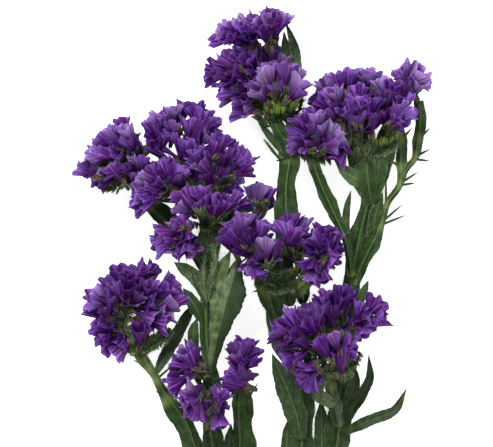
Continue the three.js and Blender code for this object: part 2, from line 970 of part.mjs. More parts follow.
/** A leaf: a lance-shaped blade folded along its midrib. */
function leafBlade(leaf, grow = 0) {
  const curve = curveThrough(leaf.line);
  const segments = Math.max(4, Math.round(curve.getLength() / LEAF.step));
  const half = BLADE / 2 + grow;
  const rings = [];
  for (let segment = 0; segment <= segments; segment += 1) {
    const share = segment / segments;
    const { centre, along, side, rise } = stationOn(curve, share);
    const push = segment === 0 ? -grow : segment === segments ? grow : 0;
    const swell = Math.sin(Math.PI * share ** (leaf.skew ?? LEAF.skew)) ** LEAF.fullness;
    const shape = segment === segments ? LEAF.tip : LEAF.foot + (1 - LEAF.foot) * swell;
    const width = leaf.half * shape + grow;
    const fold = leaf.fold * shape;
    const place = (across, height) => centre.clone()
      .addScaledVector(along, push)
      .addScaledVector(side, across)
      .addScaledVector(rise, height);
    rings.push([
      place(-width, fold + half),
      place(0, half),
      place(width, fold + half),
      place(width, fold - half),
      place(0, -half),
      place(-width, fold - half),
    ]);
  }
  return loft(rings);
}

// ---------------------------------------------------------------------------------------------------
// Flower heads
// ---------------------------------------------------------------------------------------------------

/** The axis of a spike: it leaves the hub, may pass "via", and runs on along its roots. */
function axisCurve(head, spike) {
  const roots = spike.roots.map(([column, row]) => [column, row, spike.heights[0]]);
  return curveThrough([head.hub, ...(spike.via ? [spike.via] : []), ...roots]);
}

/** The chain of points that the bar of an axis follows. */
function axisChain(head, spike) {
  const axis = axisCurve(head, spike);
  return axis.getPoints(AXIS.links * (axis.points.length - 1));
}

/** The point of an axis at a share of the stretch that carries calyces. */
function footOn(chain, spike, share) {
  const along = chain.length - 1 - AXIS.links * (spike.roots.length - 1) * (1 - share);
  const before = Math.min(Math.floor(along), chain.length - 2);
  return chain[before].clone().lerp(chain[before + 1], along - before);
}

/** One calyx: a tube that flares to an open, dished mouth of five lobes. */
function calyx(foot, mouthCentre, mouthRadius, roll) {
  const along = mouthCentre.clone().sub(foot).normalize();
  const side = new THREE.Vector3().crossVectors(along, UP).normalize();
  const rise = new THREE.Vector3().crossVectors(side, along);
  const ring = (centre, radius) => Array.from({ length: CALYX.sides }, (_, corner) => {
    const angle = roll + (2 * Math.PI * corner) / CALYX.sides;
    return centre.clone()
      .addScaledVector(side, radius * Math.cos(angle))
      .addScaledVector(rise, -radius * Math.sin(angle));
  });
  const throat = mouthCentre.clone().addScaledVector(along, -CALYX.flare);
  const start = foot.clone().addScaledVector(along, -CALYX.root);
  const dish = mouthCentre.clone().addScaledVector(along, -CALYX.dish);
  const points = [start, ...ring(throat, CALYX.throat), ...ring(mouthCentre, mouthRadius), dish];
  const triangles = [];
  const sides = CALYX.sides;
  const end = points.length - 1;
  for (let corner = 0; corner < sides; corner += 1) {
    const next = (corner + 1) % sides;
    const low = [1 + corner, 1 + next];
    const high = low.map((vertex) => vertex + sides);
    triangles.push([0, low[1], low[0]]);
    triangles.push([low[0], low[1], high[1]], [low[0], high[1], high[0]]);
    triangles.push([high[0], high[1], end]);
  }
  return solidFrom(points, triangles);
}

/** Points along the axes of every head, which the calyces of the other heads keep clear of. */
const axisPoints = HEADS.flatMap((head) => head.spikes.flatMap((spike) => axisCurve(head, spike)
  .getSpacedPoints(AXIS.samples)
  .map((point) => ({ head: head.name, point }))));

const placed = []; // head, mouth and middle of every calyx so far

/** Whether a new calyx keeps its distance from those of its own head and from the other heads. */
function hasRoom(head, foot, mouth) {
  const middle = foot.clone().lerp(mouth, 0.5);
  const clearOfCalyces = placed.every((other) => (other.head === head
    ? other.mouth.distanceTo(mouth) > CLEAR.own
    : other.mouth.distanceTo(mouth) > CLEAR.other
      && other.middle.distanceTo(middle) > CLEAR.middles
      && other.mouth.distanceTo(middle) > CLEAR.crossed
      && other.middle.distanceTo(mouth) > CLEAR.crossed));
  const clearOfAxes = axisPoints.every(({ head: owner, point }) => owner === head
    || (point.distanceTo(mouth) > CLEAR.axisToMouth && point.distanceTo(middle) > CLEAR.axis));
  return clearOfCalyces && clearOfAxes;
}

/** The calyces of one spike, in rows across it and in tiers between its axis and its crest. */
function spikeCalyces(head, spike, draw) {
  const chain = axisChain(head, spike);
  const tips = curveThrough(spike.tips, spike.heights[1]);
  const facing = spike.heights[1] >= spike.heights[0] ? 1 : -1;
  const solids = [];
  for (let tier = 0; tier < spike.tiers; tier += 1) {
    const reach = tier === 0 ? 1 : CALYX.tierReach;
    const count = Math.max(1, Math.round((tips.getLength() * reach) / CALYX.pitch));
    for (let row = 0; row < spike.rows; row += 1) {
      const lift = (row - (spike.rows - 1) / 2) * CALYX.rowPitch + tier * facing * CALYX.tierLift;
      for (let item = 0; item < count; item += 1) {
        const share = (item + 0.5 + CALYX.slip * (draw() - 0.5)) / count;
        const foot = footOn(chain, spike, share);
        const along = reach * (CALYX.reach + CALYX.reachSpread * draw());
        const stray = new THREE.Vector3(draw() - 0.5, draw() - 0.5, draw() - 0.5);
        const mouth = foot.clone().lerp(tips.getPointAt(share), along).addScaledVector(stray, CALYX.scatter);
        mouth.z += lift;
        const radius = CALYX.mouth * (1 - CALYX.mouthSpread * draw());
        const roll = 2 * Math.PI * draw();
        if (foot.distanceTo(mouth) > CALYX.flare && hasRoom(head.name, foot, mouth)) {
          placed.push({ head: head.name, mouth, middle: foot.clone().lerp(mouth, 0.5) });
          solids.push(calyx(foot, mouth, radius, roll));
        }
      }
    }
  }
  return solids;
}

/** A flower head: its hub, the axes that leave it and all their calyces. */
function flowerHead(head, draw) {
  const solids = [bar([at(head.foot), at(head.hub)], HUB.sides, HUB.radius, HUB.radius, HUB.sunk)];
  for (const spike of head.spikes) {
    solids.push(bar(axisChain(head, spike), AXIS.sides, AXIS.radius, AXIS.tip));
    solids.push(...spikeCalyces(head, spike, draw));
  }
  return joined(solids);
}

// ---------------------------------------------------------------------------------------------------
// Assembly
// ---------------------------------------------------------------------------------------------------

/** Everything under the surface that the spray lies on, as a solid to cut away. */
function belowGround() {
  const box = new THREE.BoxGeometry(GROUND.side, GROUND.side, GROUND.depth);
  box.translate(0, 0, -GROUND.depth / 2);
  box.deleteAttribute('normal');
  box.deleteAttribute('uv');
  const merged = mergeVertices(box);
  return new wasm.Manifold(new wasm.Mesh({
    numProp: 3,
    vertProperties: new Float32Array(merged.attributes.position.array),
    triVerts: new Uint32Array(merged.index.array),
  }));
}

/** A named mesh of a solid. */
function meshOf(name, solid, { colour, roughness }) {
  const { vertProperties, triVerts } = solid.getMesh();
  const geometry = new THREE.BufferGeometry();
  geometry.setAttribute('position', new THREE.BufferAttribute(new Float32Array(vertProperties), 3));
  geometry.setIndex(new THREE.BufferAttribute(new Uint32Array(triVerts), 1));
  const material = new THREE.MeshStandardMaterial({ color: colour, roughness, metalness: 0 });
  const mesh = new THREE.Mesh(geometry, material);
  mesh.name = name;
  return mesh;
}

/** The green solid of a stem with its small leaves, at size or grown by the gap. */
function greenStem(stem, grow = 0) {
  return joined([wingedStem(stem, grow), ...stemScales(stem, grow)]);
}

const spray = new THREE.Group();
const cutters = [belowGround()]; // the ground, and every green solid so far with its clearance

/** Cuts a solid clear of its neighbours, adds it to the spray and keeps its own room clear. */
function plant(name, solid, room, finish) {
  spray.add(meshOf(name, largestBody(solid.subtract(joined(cutters))), finish));
  cutters.push(...room);
}

for (const stem of STEMS) {
  const solid = greenStem(stem);
  plant(stem.name, solid, [solid, greenStem(stem, GAP)], FINISH.stem);
}
for (const leaf of LEAVES) {
  plant(leaf.name, leafBlade(leaf), [leafBlade(leaf, GAP)], leaf.pale ? FINISH.pale : FINISH.leaf);
}
for (const [order, head] of HEADS.entries()) {
  plant(head.name, flowerHead(head, seeded(SEED + order)), [], FINISH.calyx);
}

// The origin is the middle of the spray's footprint, on the surface.
const middle = new THREE.Box3().setFromObject(spray).getCenter(new THREE.Vector3());
spray.position.set(-middle.x, -middle.y, 0);

const root = new THREE.Group();
root.add(spray);

export default root;
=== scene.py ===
"""A cut spray of dried statice, laid down on a pale surface.

Winged green stems carry lance-shaped leaves and one-sided fans of papery violet calyces. The layout tables
are plan columns and rows with heights in millimetres. They follow those of the solids, apart from one crest
that is drawn in, and add the tufts and a few spikes. Every mesh is made of closed surfaces, its place is in
its vertices, and +Z is up from the surface that the spray lies on.
"""
from __future__ import annotations

import logging
import math
from dataclasses import dataclass, field
from enum import Enum

import bpy
import numpy as np
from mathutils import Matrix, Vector


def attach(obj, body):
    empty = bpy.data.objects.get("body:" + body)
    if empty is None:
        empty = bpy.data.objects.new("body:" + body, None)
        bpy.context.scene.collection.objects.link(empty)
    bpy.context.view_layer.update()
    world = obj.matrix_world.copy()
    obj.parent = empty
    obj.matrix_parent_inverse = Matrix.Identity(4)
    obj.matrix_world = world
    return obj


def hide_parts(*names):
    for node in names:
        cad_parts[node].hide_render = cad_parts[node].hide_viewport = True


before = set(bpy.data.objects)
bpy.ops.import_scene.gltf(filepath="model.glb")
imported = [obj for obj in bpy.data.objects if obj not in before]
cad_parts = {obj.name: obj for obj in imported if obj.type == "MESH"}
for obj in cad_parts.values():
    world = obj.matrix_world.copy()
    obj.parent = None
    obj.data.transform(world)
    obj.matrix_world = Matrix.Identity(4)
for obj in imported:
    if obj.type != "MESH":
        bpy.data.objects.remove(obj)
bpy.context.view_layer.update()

Array = np.ndarray
Points = tuple[tuple[float, ...], ...]
Point = tuple[float, float, float]
Piece = bpy.types.Object
Material = bpy.types.Material
Draw = np.random.Generator
Socket = bpy.types.NodeSocket
Colour = tuple[float, float, float]
LOG = logging.getLogger("statice")

MM = 0.001  # metres in a millimetre
BODY = "root"
SEED = 20417  # start of the heads' seeded draws
TUFT_SEED = SEED + 100
DOWN_SEED = SEED + 200
UP = np.array([0.0, 0.0, 1.0])


# ---------------------------------------------------------------------------------------------------------
# Layout
# ---------------------------------------------------------------------------------------------------------
@dataclass(frozen=True)
class Plan:
    """The plan grid on which the spray is laid out.

    Attributes:
        unit: side of one square, in mm.
        column: column at x = 0 before the spray is centred.
        row: row at y = 0 before the spray is centred.
        shift: move that brings the middle of the spray to the origin, in mm.
    """

    unit: float = 0.45
    column: float = 246.5
    row: float = 447.0
    shift: tuple[float, float] = (-3.86116, -35.41302)

    def place(self, points: Points | Array) -> Array:
        """Turns plan points into millimetres: x and y are steps from the grid's zero times the unit.

        Args:
            points: columns, rows and heights, one point a line.

        Returns:
            The points as an array of x, y and z in mm.
        """
        given = np.asarray(points, float)
        x = (given[..., 0] - self.column) * self.unit + self.shift[0]
        y = (self.row - given[..., 1]) * self.unit + self.shift[1]
        return np.stack([x, y, given[..., 2]], -1)

    def level(self, points: Points, height: float) -> Array:
        """Plan points without heights, all placed at one height in mm."""
        flat = np.asarray(points, float)
        return self.place(np.column_stack([flat, np.full(len(flat), height)]))


PLAN = Plan()


@dataclass(frozen=True)
class StemPlan:
    """A winged stem: its line from root to top, the radius of its body, its wings and its small leaves.

    The wings' greatest reach to the left and right is multiplied by a share for each point of the line.
    """

    name: str
    line: Points
    radius: tuple[float, float]
    wings: tuple[float, float]
    reach: tuple[float, ...]
    scales: tuple[Points, ...] = ()


@dataclass(frozen=True)
class LeafPlan:
    """A leaf: its line from foot to tip, its greatest half width and how far its edges fold up, in mm.

    The skew moves its widest part: 1 puts it in the middle, less nearer the foot and more nearer the tip. A
    folded leaf has painted shade on its right half.
    """

    line: Points
    half: float
    fold: float
    skew: float = 0.85
    pale: bool = False
    folded: bool = False


@dataclass(frozen=True)
class SpikePlan:
    """A spike: its axis, its crest of mouths, the heights of both, its rows and its tiers.

    A bare spike has no calyces near its axis, so its bracts show.
    """

    roots: Points
    tips: Points
    heights: tuple[float, float]
    rows: int
    tiers: int
    via: tuple[float, ...] = ()
    bare: bool = False


@dataclass(frozen=True)
class HeadPlan:
    """A flower head: its foot on the stem, the hub that its axes leave, and its spikes.

    A loose head has narrow calyces that stand apart. A head's light is painted light: how much paler its
    calyces are painted than the others', and below 0, painted shade that makes them darker.
    """

    name: str
    foot: Point
    hub: Point
    spikes: tuple[SpikePlan, ...]
    loose: bool = False
    light: float = 0.0


@dataclass(frozen=True)
class BedPlan:
    """A bed of bracts: its line, the way they point on the plan, its rows, their length and radius in mm."""

    line: Points
    aim: Point
    rows: int
    long: float
    wide: float
    pale: bool = False


@dataclass(frozen=True)
class TuftPlan:
    """The green growth under a head: short winged blades, and beds of hairy bracts."""

    name: str
    blades: tuple[LeafPlan, ...] = ()
    beds: tuple[BedPlan, ...] = ()


STEM_PLANS = (
    StemPlan("stem_main", ((268, 736, 2.6), (270, 690, 6), (264, 635, 10), (246, 560, 14), (224, 490, 18),
        (212, 440, 20.5), (212, 400, 22), (207, 346, 24), (206, 300, 26), (210, 262, 27.5), (213, 224, 30)),
        radius=(2.9, 1.9), wings=(2.6, 3.6), reach=(0.5, 0.8, 1, 1, 1, 1, 0.8, 0.4, 0.35, 0.5, 0.4)),
    StemPlan("stem_left_head", ((208, 275, 27), (190, 246, 25), (166, 222, 24), (144, 198, 24),
        (130, 179, 25)), radius=(1.5, 1.3), wings=(2.2, 4.6), reach=(0.3, 0.8, 1, 0.8, 0.4),
        scales=(((178, 232, 25), (168, 240, 28)), ((150, 205, 24), (140, 214, 27)))),
    StemPlan("stem_lower_left", ((224, 492, 17.5), (206, 470, 18.5), (195, 447, 19.5), (187, 425, 20.5),
        (175, 408, 21.5), (164, 392, 22.5), (155, 376, 23.5), (146, 362, 24.5), (140, 353, 25),
        (134, 344, 25.5)), radius=(1.7, 1.3), wings=(6.2, 2.8),
        reach=(0.3, 0.9, 1, 0.95, 0.6, 0.3, 0.15, 0.3, 0.3, 0.2), scales=(((150, 368, 24), (133, 360, 26)),
        ((143, 357, 25), (129, 355, 27)), ((169, 399, 22), (155, 391, 24.5)), ((157, 379, 23.5),
        (172, 366, 26)))),
    StemPlan("stem_lower_centre", ((229, 506, 16.5), (237, 470, 19), (240, 440, 21), (239, 415, 23),
        (239, 398, 25), (242, 384, 27)), radius=(1.6, 1.3), wings=(2.2, 7.2),
        reach=(0.3, 0.9, 1, 1, 0.7, 0.2), scales=(((246, 402, 24.5), (258, 383, 27)),)),
    StemPlan("stem_lower_head", ((212, 438, 20.5), (208, 420, 27), (207, 412, 29), (204, 392, 30)),
        radius=(1.4, 1.2), wings=(1.6, 1.6), reach=(0.6, 1, 1, 0.4), scales=(((210, 428, 24),
        (203, 440, 30)), ((209, 424, 26), (216, 440, 31)))),
    StemPlan("stem_crest", ((266, 642, 10), (290, 566, 13), (302, 500, 16), (302, 447, 18), (302, 414, 20),
        (295, 372, 20), (280, 332, 20), (274, 304, 21), (281, 270, 22), (286, 228, 23), (286, 186, 24),
        (289, 157, 25), (284, 136, 26), (276, 120, 26)), radius=(2.2, 1.5), wings=(4.2, 4.6),
        reach=(0.4, 0.8, 1, 1, 1, 0.9, 0.9, 0.9, 1, 0.9, 0.95, 0.8, 0.4, 0.3), scales=(((290, 158, 25),
        (275, 161, 28)), ((290, 157, 25), (303, 155, 28)), ((284, 134, 26), (300, 122, 29)), ((278, 124, 26),
        (262, 128, 30)))),
    StemPlan("stem_corymb", ((299, 526, 15), (324, 484, 16), (337, 447, 17), (340, 416, 18), (344, 380, 18),
        (349, 320, 19), (353, 275, 20), (360, 235, 22), (367, 206, 24), (369, 182, 25.5), (367, 164, 26.5)),
        radius=(2, 1.5), wings=(4.6, 4), reach=(0.4, 0.9, 1, 1, 0.9, 0.8, 0.75, 0.8, 0.45, 0.7, 1.3),
        scales=(((370, 200, 24.5), (386, 178, 27)), ((368, 176, 26), (350, 184, 29)), ((367, 168, 26),
        (384, 150, 30)))),
    StemPlan("branch_corymb_right", ((354, 284, 20), (363, 262, 22.5), (373, 242, 24.5), (381, 224, 25),
        (388, 202, 26), (400, 184, 26), (401, 160, 26), (401, 140, 27), (398, 126, 28)), radius=(1.4, 1.2),
        wings=(1.6, 2.8), reach=(0.4, 1, 1, 0.15, 0.12, 0.15, 0.8, 0.9, 0.6), scales=(((381, 223, 25),
        (403, 204, 28)), ((381, 225, 25), (406, 215, 29)), ((386, 205, 26), (386, 177, 29)), ((401, 183, 26),
        (418, 172, 29)), ((401, 185, 26), (415, 183, 29)), ((401, 168, 26), (389, 159, 29)), ((401, 140, 27),
        (412, 128, 30)))),
    StemPlan("branch_far_right", ((401, 178, 26), (408, 167, 25), (415, 158, 24.5), (418, 140, 24),
        (421, 118, 24), (418, 101, 24.5)), radius=(1.2, 1.1), wings=(2.2, 2.6),
        reach=(0.1, 0.1, 0.15, 0.7, 1, 0.5), scales=(((415, 157, 24.5), (430, 149, 27)), ((415, 159, 24.5),
        (430, 161, 25)), ((420, 138, 24), (430, 128, 26)))),
    StemPlan("branch_diagonal", ((352, 276, 22), (346, 240, 29), (339, 224, 30), (330, 205, 31),
        (319, 180, 33), (311, 156, 33.5)), radius=(1.3, 1.3), wings=(2.2, 2.4),
        reach=(0.3, 0.3, 0.6, 0.85, 1, 0.8), scales=(((311, 160, 33), (298, 150, 35)), ((312, 162, 33),
        (329, 158, 37)))),
    StemPlan("branch_centre", ((278, 322, 21), (270, 300, 30), (264, 283, 35), (261, 273, 36.5)),
        radius=(1.3, 1.2), wings=(3.4, 3.4), reach=(0.4, 1, 1, 0.6), scales=(((266, 288, 33),
        (252, 292, 35)), ((268, 292, 32), (286, 286, 36)))),
    StemPlan("branch_centre_right", ((275, 298, 22), (292, 292, 28), (307, 280, 31.5), (314, 270, 33.5)),
        radius=(1.3, 1.2), wings=(2.6, 2.6), reach=(0.4, 1, 0.9, 0.5), scales=(((298, 288, 30),
        (304, 300, 33)), ((304, 284, 31), (296, 272, 34)))),
    StemPlan("branch_lower_right", ((339, 426, 19), (334, 402, 29), (328, 380, 37), (324, 364, 40)),
        radius=(1.4, 1.2), wings=(2.2, 2.2), reach=(0.4, 1, 1, 0.6), scales=(((326, 374, 38),
        (346, 366, 42)), ((330, 386, 35), (346, 377, 39)))),
)

LEAF_PLANS = {
    "leaf_centre": LeafPlan(((211, 372, 24.8), (215, 350, 29), (220, 326, 32), (227, 300, 33.5),
        (234, 276, 33), (240, 256, 31.5)), 8, -2.6, skew=2.2, pale=True, folded=True),
    "leaf_centre_left": LeafPlan(((206, 292, 28), (194, 276, 32.5), (174, 262, 33)), 3.4, 0.8, pale=True),
    "leaf_lower_left": LeafPlan(((210, 384, 24.5), (198, 362, 30), (184, 338, 31)), 2.8, 0.7),
    "leaf_strap": LeafPlan(((155, 375, 23.3), (171, 345, 20), (186, 318, 20), (197, 298, 21)), 3, 0.6),
    "leaf_right_low": LeafPlan(((339, 436, 18), (356, 427, 24), (376, 418, 26), (394, 411, 25),
        (407, 388, 27)), 2.6, 0.7),
    "leaf_right_high": LeafPlan(((341, 432, 17), (353, 410, 18), (363, 394, 19), (370, 378, 19),
        (369, 355, 21)), 2.4, 0.7),
    "leaf_right_wing": LeafPlan(((341, 412, 22), (353, 390, 26), (352, 360, 29)), 3, 0.8),
    "leaf_lower_centre": LeafPlan(((302, 440, 21.2), (296, 414, 24.5), (285, 384, 26),
        (272, 354, 26)), 5.2, 0.9),
    "leaf_under_head": LeafPlan(((334, 405, 29.5), (320, 396, 36), (304, 384, 39)), 3, 0.8, pale=True),
    "leaf_corymb": LeafPlan(((368, 184, 27.2), (354, 178, 32), (336, 164, 34)), 3.4, 0.8, pale=True),
    "leaf_diagonal": LeafPlan(((348, 246, 27.5), (346, 215, 27), (351, 190, 29)), 1.8, 0.5),
    "leaf_crest": LeafPlan(((279, 122, 25.3), (288, 102, 22.5), (296, 64, 19), (293, 42, 18),
        (285, 20, 20)), 2.8, 0.8),
}

# A head's light above 0 is painted light on all its calyces, and below 0 painted shade.
HEAD_PLANS = (
    HeadPlan("head_centre", foot=(261, 273, 36.5), hub=(256, 260, 38.5), spikes=(
        SpikePlan(((248, 252), (254, 246)), ((222, 238), (227, 223), (242, 214), (257, 213), (266, 224)),
            (40, 47), 2, 1),
        SpikePlan(((262, 262), (270, 258)), ((262, 236), (276, 236), (284, 248)), (42, 50), 1, 1),
        SpikePlan(((250, 264), (256, 268)), ((238, 264), (248, 278), (266, 281)), (40, 47), 1, 1),
        SpikePlan(((250, 256), (262, 252)), ((232, 244), (246, 228), (268, 232)), (32, 21), 1, 1),
    ), light=-0.16),
    HeadPlan("head_centre_top", foot=(307, 280, 31.5), hub=(299, 268, 33), spikes=(
        SpikePlan(((294, 252), (290, 244)), ((277, 226), (290, 213), (304, 221), (306, 240)),
            (34, 38), 2, 1),
        SpikePlan(((296, 258), (302, 252)), ((280, 248), (290, 238), (306, 248)), (30, 24), 1, 1),
    ), light=-0.12),
    HeadPlan("head_centre_right", foot=(314, 270, 33.5), hub=(320, 262, 35), spikes=(
        SpikePlan(((318, 254), (326, 250), (330, 258)), ((304, 238), (314, 227), (327, 224), (337, 236),
            (340, 252), (332, 276)), (35, 39), 2, 1),
        SpikePlan(((319, 268), (311, 265)), ((322, 285), (308, 281), (298, 268)), (37, 41), 1, 1),
        SpikePlan(((318, 260), (326, 256)), ((308, 246), (320, 236), (336, 244)), (27, 16), 1, 1),
    ), light=-0.16),
    HeadPlan("head_lower_right", foot=(324, 364, 40), hub=(322, 352, 42), spikes=(
        SpikePlan(((304, 342), (314, 330)), ((270, 336), (272, 319), (284, 310), (300, 308), (312, 314)),
            (43, 50), 2, 2),
        SpikePlan(((306, 354), (296, 352)), ((282, 364), (269, 352)), (43, 48), 1, 1),
        SpikePlan(((316, 366), (310, 370)), ((308, 390), (293, 378), (294, 362)), (45, 53), 1, 1),
        SpikePlan(((330, 358), (338, 356)), ((317, 338), (330, 330), (344, 336)), (47, 56), 1, 1),
        SpikePlan(((326, 326), (344, 318)), ((315, 300), (326, 290), (342, 284), (355, 292)),
            (39, 43), 2, 1),
        SpikePlan(((356, 330), (362, 320)), ((362, 302), (375, 296), (389, 305), (379, 326), (366, 340)),
            (41, 45), 1, 1, via=(344, 338, 42)),
        SpikePlan(((338, 354), (346, 352)), ((352, 336), (362, 350)), (43, 48), 1, 1),
        SpikePlan(((312, 342), (340, 334)), ((286, 330), (300, 306), (330, 298), (356, 312), (362, 334)),
            (34, 22), 1, 2),
    ), light=-0.2),
    HeadPlan("head_crest", foot=(276, 120, 26), hub=(268, 106, 28), spikes=(
        SpikePlan(((238, 44), (262, 35), (278, 29)), ((214, 37), (223, 27), (240, 20), (258, 14), (277, 7),
            (287, 14)), (25, 27), 3, 2, via=(264, 74, 26)),
        SpikePlan(((252, 100), (247, 78), (254, 66)), ((222, 97), (212, 90), (205, 76), (214, 60), (232, 48),
            (248, 46)), (29, 33), 2, 2),
        SpikePlan(((262, 86), (276, 76)), ((243, 50), (256, 40), (271, 40), (286, 50)), (22, 18), 2, 1),
        SpikePlan(((270, 100), (292, 98)), ((250, 82), (260, 67), (279, 62), (297, 67), (306, 78)),
            (34, 42), 2, 2, bare=True),
        SpikePlan(((256, 112), (248, 109)), ((228, 98), (228, 116)), (31, 35), 1, 1),
        SpikePlan(((260, 94), (282, 88)), ((232, 80), (240, 56), (268, 46), (292, 56), (300, 80)),
            (18, 3), 2, 2),
    ), light=0.08),
    HeadPlan("head_far_right", foot=(418, 101, 24.5), hub=(412, 91, 25), spikes=(
        SpikePlan(((409, 86), (417, 82)), ((394, 66), (404, 60), (417, 64), (427, 73), (433, 86)),
            (24, 26), 2, 1),
    ), light=0.3),
    HeadPlan("head_corymb_left", foot=(312, 156, 33.5), hub=(314, 143, 35), spikes=(
        SpikePlan(((306, 142), (322, 136)), ((285, 148), (290, 133), (300, 111), (311, 106), (320, 120)),
            (35, 40), 2, 2),
        SpikePlan(((316, 148), (328, 146)), ((314, 126), (328, 120), (342, 130), (344, 146)),
            (36, 42), 1, 1),
    )),
    HeadPlan("head_corymb_right", foot=(398, 126, 28), hub=(393, 117, 30), spikes=(
        SpikePlan(((404, 106), (386, 104)), ((411, 92), (400, 82), (387, 77), (376, 78)), (29, 34), 2, 1),
        SpikePlan(((390, 122), (400, 124)), ((392, 104), (405, 102), (414, 111), (415, 122)),
            (35, 41), 2, 1),
    )),
    HeadPlan("head_corymb", foot=(367, 164, 26.5), hub=(359, 142, 28), spikes=(
        SpikePlan(((328, 101), (350, 96), (376, 93)), ((316, 80), (335, 73), (353, 70), (374, 68)),
            (20, 19), 3, 1, via=(350, 118, 22)),
        SpikePlan(((350, 124), (332, 117)), ((346, 90), (330, 87), (315, 92), (310, 101)), (28, 35), 2, 1),
        SpikePlan(((352, 128), (374, 125)), ((338, 101), (352, 96), (367, 97), (381, 99)), (34, 43), 2, 2),
        SpikePlan(((343, 143), (336, 140)), ((338, 166), (326, 160)), (34, 38), 1, 1),
        SpikePlan(((352, 108), (374, 106)), ((344, 88), (360, 83), (378, 88)), (28, 34), 1, 1),
        SpikePlan(((344, 122), (384, 116)), ((312, 116), (326, 92), (352, 84), (382, 86), (404, 104)),
            (17, 3), 2, 2),
    )),
    HeadPlan("head_left", foot=(130, 179, 25), hub=(122, 167, 26), spikes=(
        SpikePlan(((98, 172), (99, 167)), ((72, 166), (71, 160)), (28, 33), 1, 0, bare=True),
        SpikePlan(((108, 178), (106, 160), (122, 148), (138, 146)), ((97, 190), (88, 174), (82, 160),
            (98, 135), (112, 122), (130, 116)), (26, 29), 2, 2),
        SpikePlan(((152, 148), (180, 134)), ((146, 119), (156, 111), (166, 107), (180, 101)), (25, 26), 3, 1,
            via=(140, 158, 26)),
        SpikePlan(((112, 166), (134, 156)), ((94, 178), (90, 152), (112, 134), (144, 130)), (18, 3), 2, 1),
        SpikePlan(((122, 176), (144, 162)), ((106, 164), (122, 152), (142, 146)), (30, 36), 1, 1),
        SpikePlan(((138, 178), (156, 176)), ((136, 160), (152, 155)), (27, 31), 1, 1, bare=True),
    ), loose=True, light=0.12),
    HeadPlan("head_upper_low", foot=(211, 248, 28.3), hub=(198, 243, 33), spikes=(
        SpikePlan(((190, 242), (180, 238)), ((198, 254), (180, 258), (162, 253), (151, 238), (160, 223),
            (178, 215), (194, 222)), (35, 42), 2, 1),
    )),
    HeadPlan("head_upper", foot=(213, 224, 30), hub=(211, 210, 31.5), spikes=(
        SpikePlan(((190, 150), (204, 136)), ((186, 101), (200, 107), (214, 115), (220, 130)), (25, 27), 2, 2,
            via=(204, 176, 29)),
        SpikePlan(((158, 198), (170, 186), (182, 180)), ((132, 208), (131, 190), (138, 175), (150, 164),
            (166, 160), (188, 168)), (34, 40), 2, 2, via=(188, 202, 33)),
        SpikePlan(((176, 166), (188, 160)), ((152, 151), (163, 138), (178, 132), (193, 138)), (34, 37), 1, 1,
            via=(192, 184, 33)),
        SpikePlan(((208, 180), (232, 176)), ((190, 156), (200, 140), (220, 134), (241, 140), (253, 152),
            (254, 172)), (33, 41), 2, 2),
        SpikePlan(((198, 210), (206, 204)), ((174, 206), (181, 191), (196, 186), (210, 187)),
            (39, 47), 1, 1),
        SpikePlan(((224, 210), (232, 206)), ((236, 188), (249, 190), (254, 202), (244, 216)),
            (36, 42), 1, 1),
        SpikePlan(((256, 208), (268, 206)), ((252, 188), (262, 182), (274, 188)), (26, 25), 2, 1,
            via=(240, 212, 27)),
        SpikePlan(((212, 212), (220, 210)), ((204, 196), (216, 190), (228, 196)), (36, 42), 1, 1),
        SpikePlan(((196, 192), (222, 184)), ((168, 190), (174, 168), (192, 150), (222, 148), (242, 166),
            (240, 190)), (17, 3), 2, 2),
    )),
    HeadPlan("head_lower_left", foot=(134, 344, 25.5), hub=(128, 333, 26.5), spikes=(
        SpikePlan(((117, 322), (119, 308), (134, 299), (146, 306), (149, 320)), ((86, 306), (96, 287),
            (112, 271), (134, 266), (160, 264), (177, 275), (181, 296), (168, 328)), (27, 33), 2, 2),
        SpikePlan(((122, 342), (114, 332)), ((114, 360), (94, 342), (84, 318)), (28, 31), 1, 1),
        SpikePlan(((140, 335), (151, 331)), ((137, 319), (148, 314), (160, 320)), (29, 33), 1, 1),
        SpikePlan(((122, 322), (126, 306), (142, 306)), ((92, 318), (98, 292), (128, 276), (160, 282),
            (170, 306)), (17, 3), 2, 1),
    )),
    HeadPlan("head_lower", foot=(204, 392, 30), hub=(199, 382, 31), spikes=(
        SpikePlan(((196, 376), (194, 362)), ((168, 394), (167, 378), (171, 361), (181, 349), (193, 347)),
            (30, 34), 2, 1),
    ), light=-0.18),
    HeadPlan("head_lower_front", foot=(207, 412, 29), hub=(208, 404, 34), spikes=(
        SpikePlan(((204, 402), (199, 398)), ((197, 422), (182, 412), (176, 397)), (36, 43), 1, 1),
        SpikePlan(((212, 404), (217, 402)), ((209, 386), (223, 386), (232, 400), (228, 422), (214, 430)),
            (35, 41), 1, 1),
        SpikePlan(((206, 402), (202, 394)), ((182, 388), (194, 376)), (37, 42), 1, 1, bare=True),
    ), light=-0.16),
    HeadPlan("head_lower_centre", foot=(242, 384, 27), hub=(241, 374, 29), spikes=(
        SpikePlan(((240, 367), (246, 360)), ((227, 348), (239, 336), (252, 340), (261, 354)),
            (30, 33), 2, 1),
        SpikePlan(((238, 380), (242, 382)), ((223, 382), (228, 364), (242, 358), (255, 374)),
            (34, 41), 1, 1),
    ), light=-0.2),
)

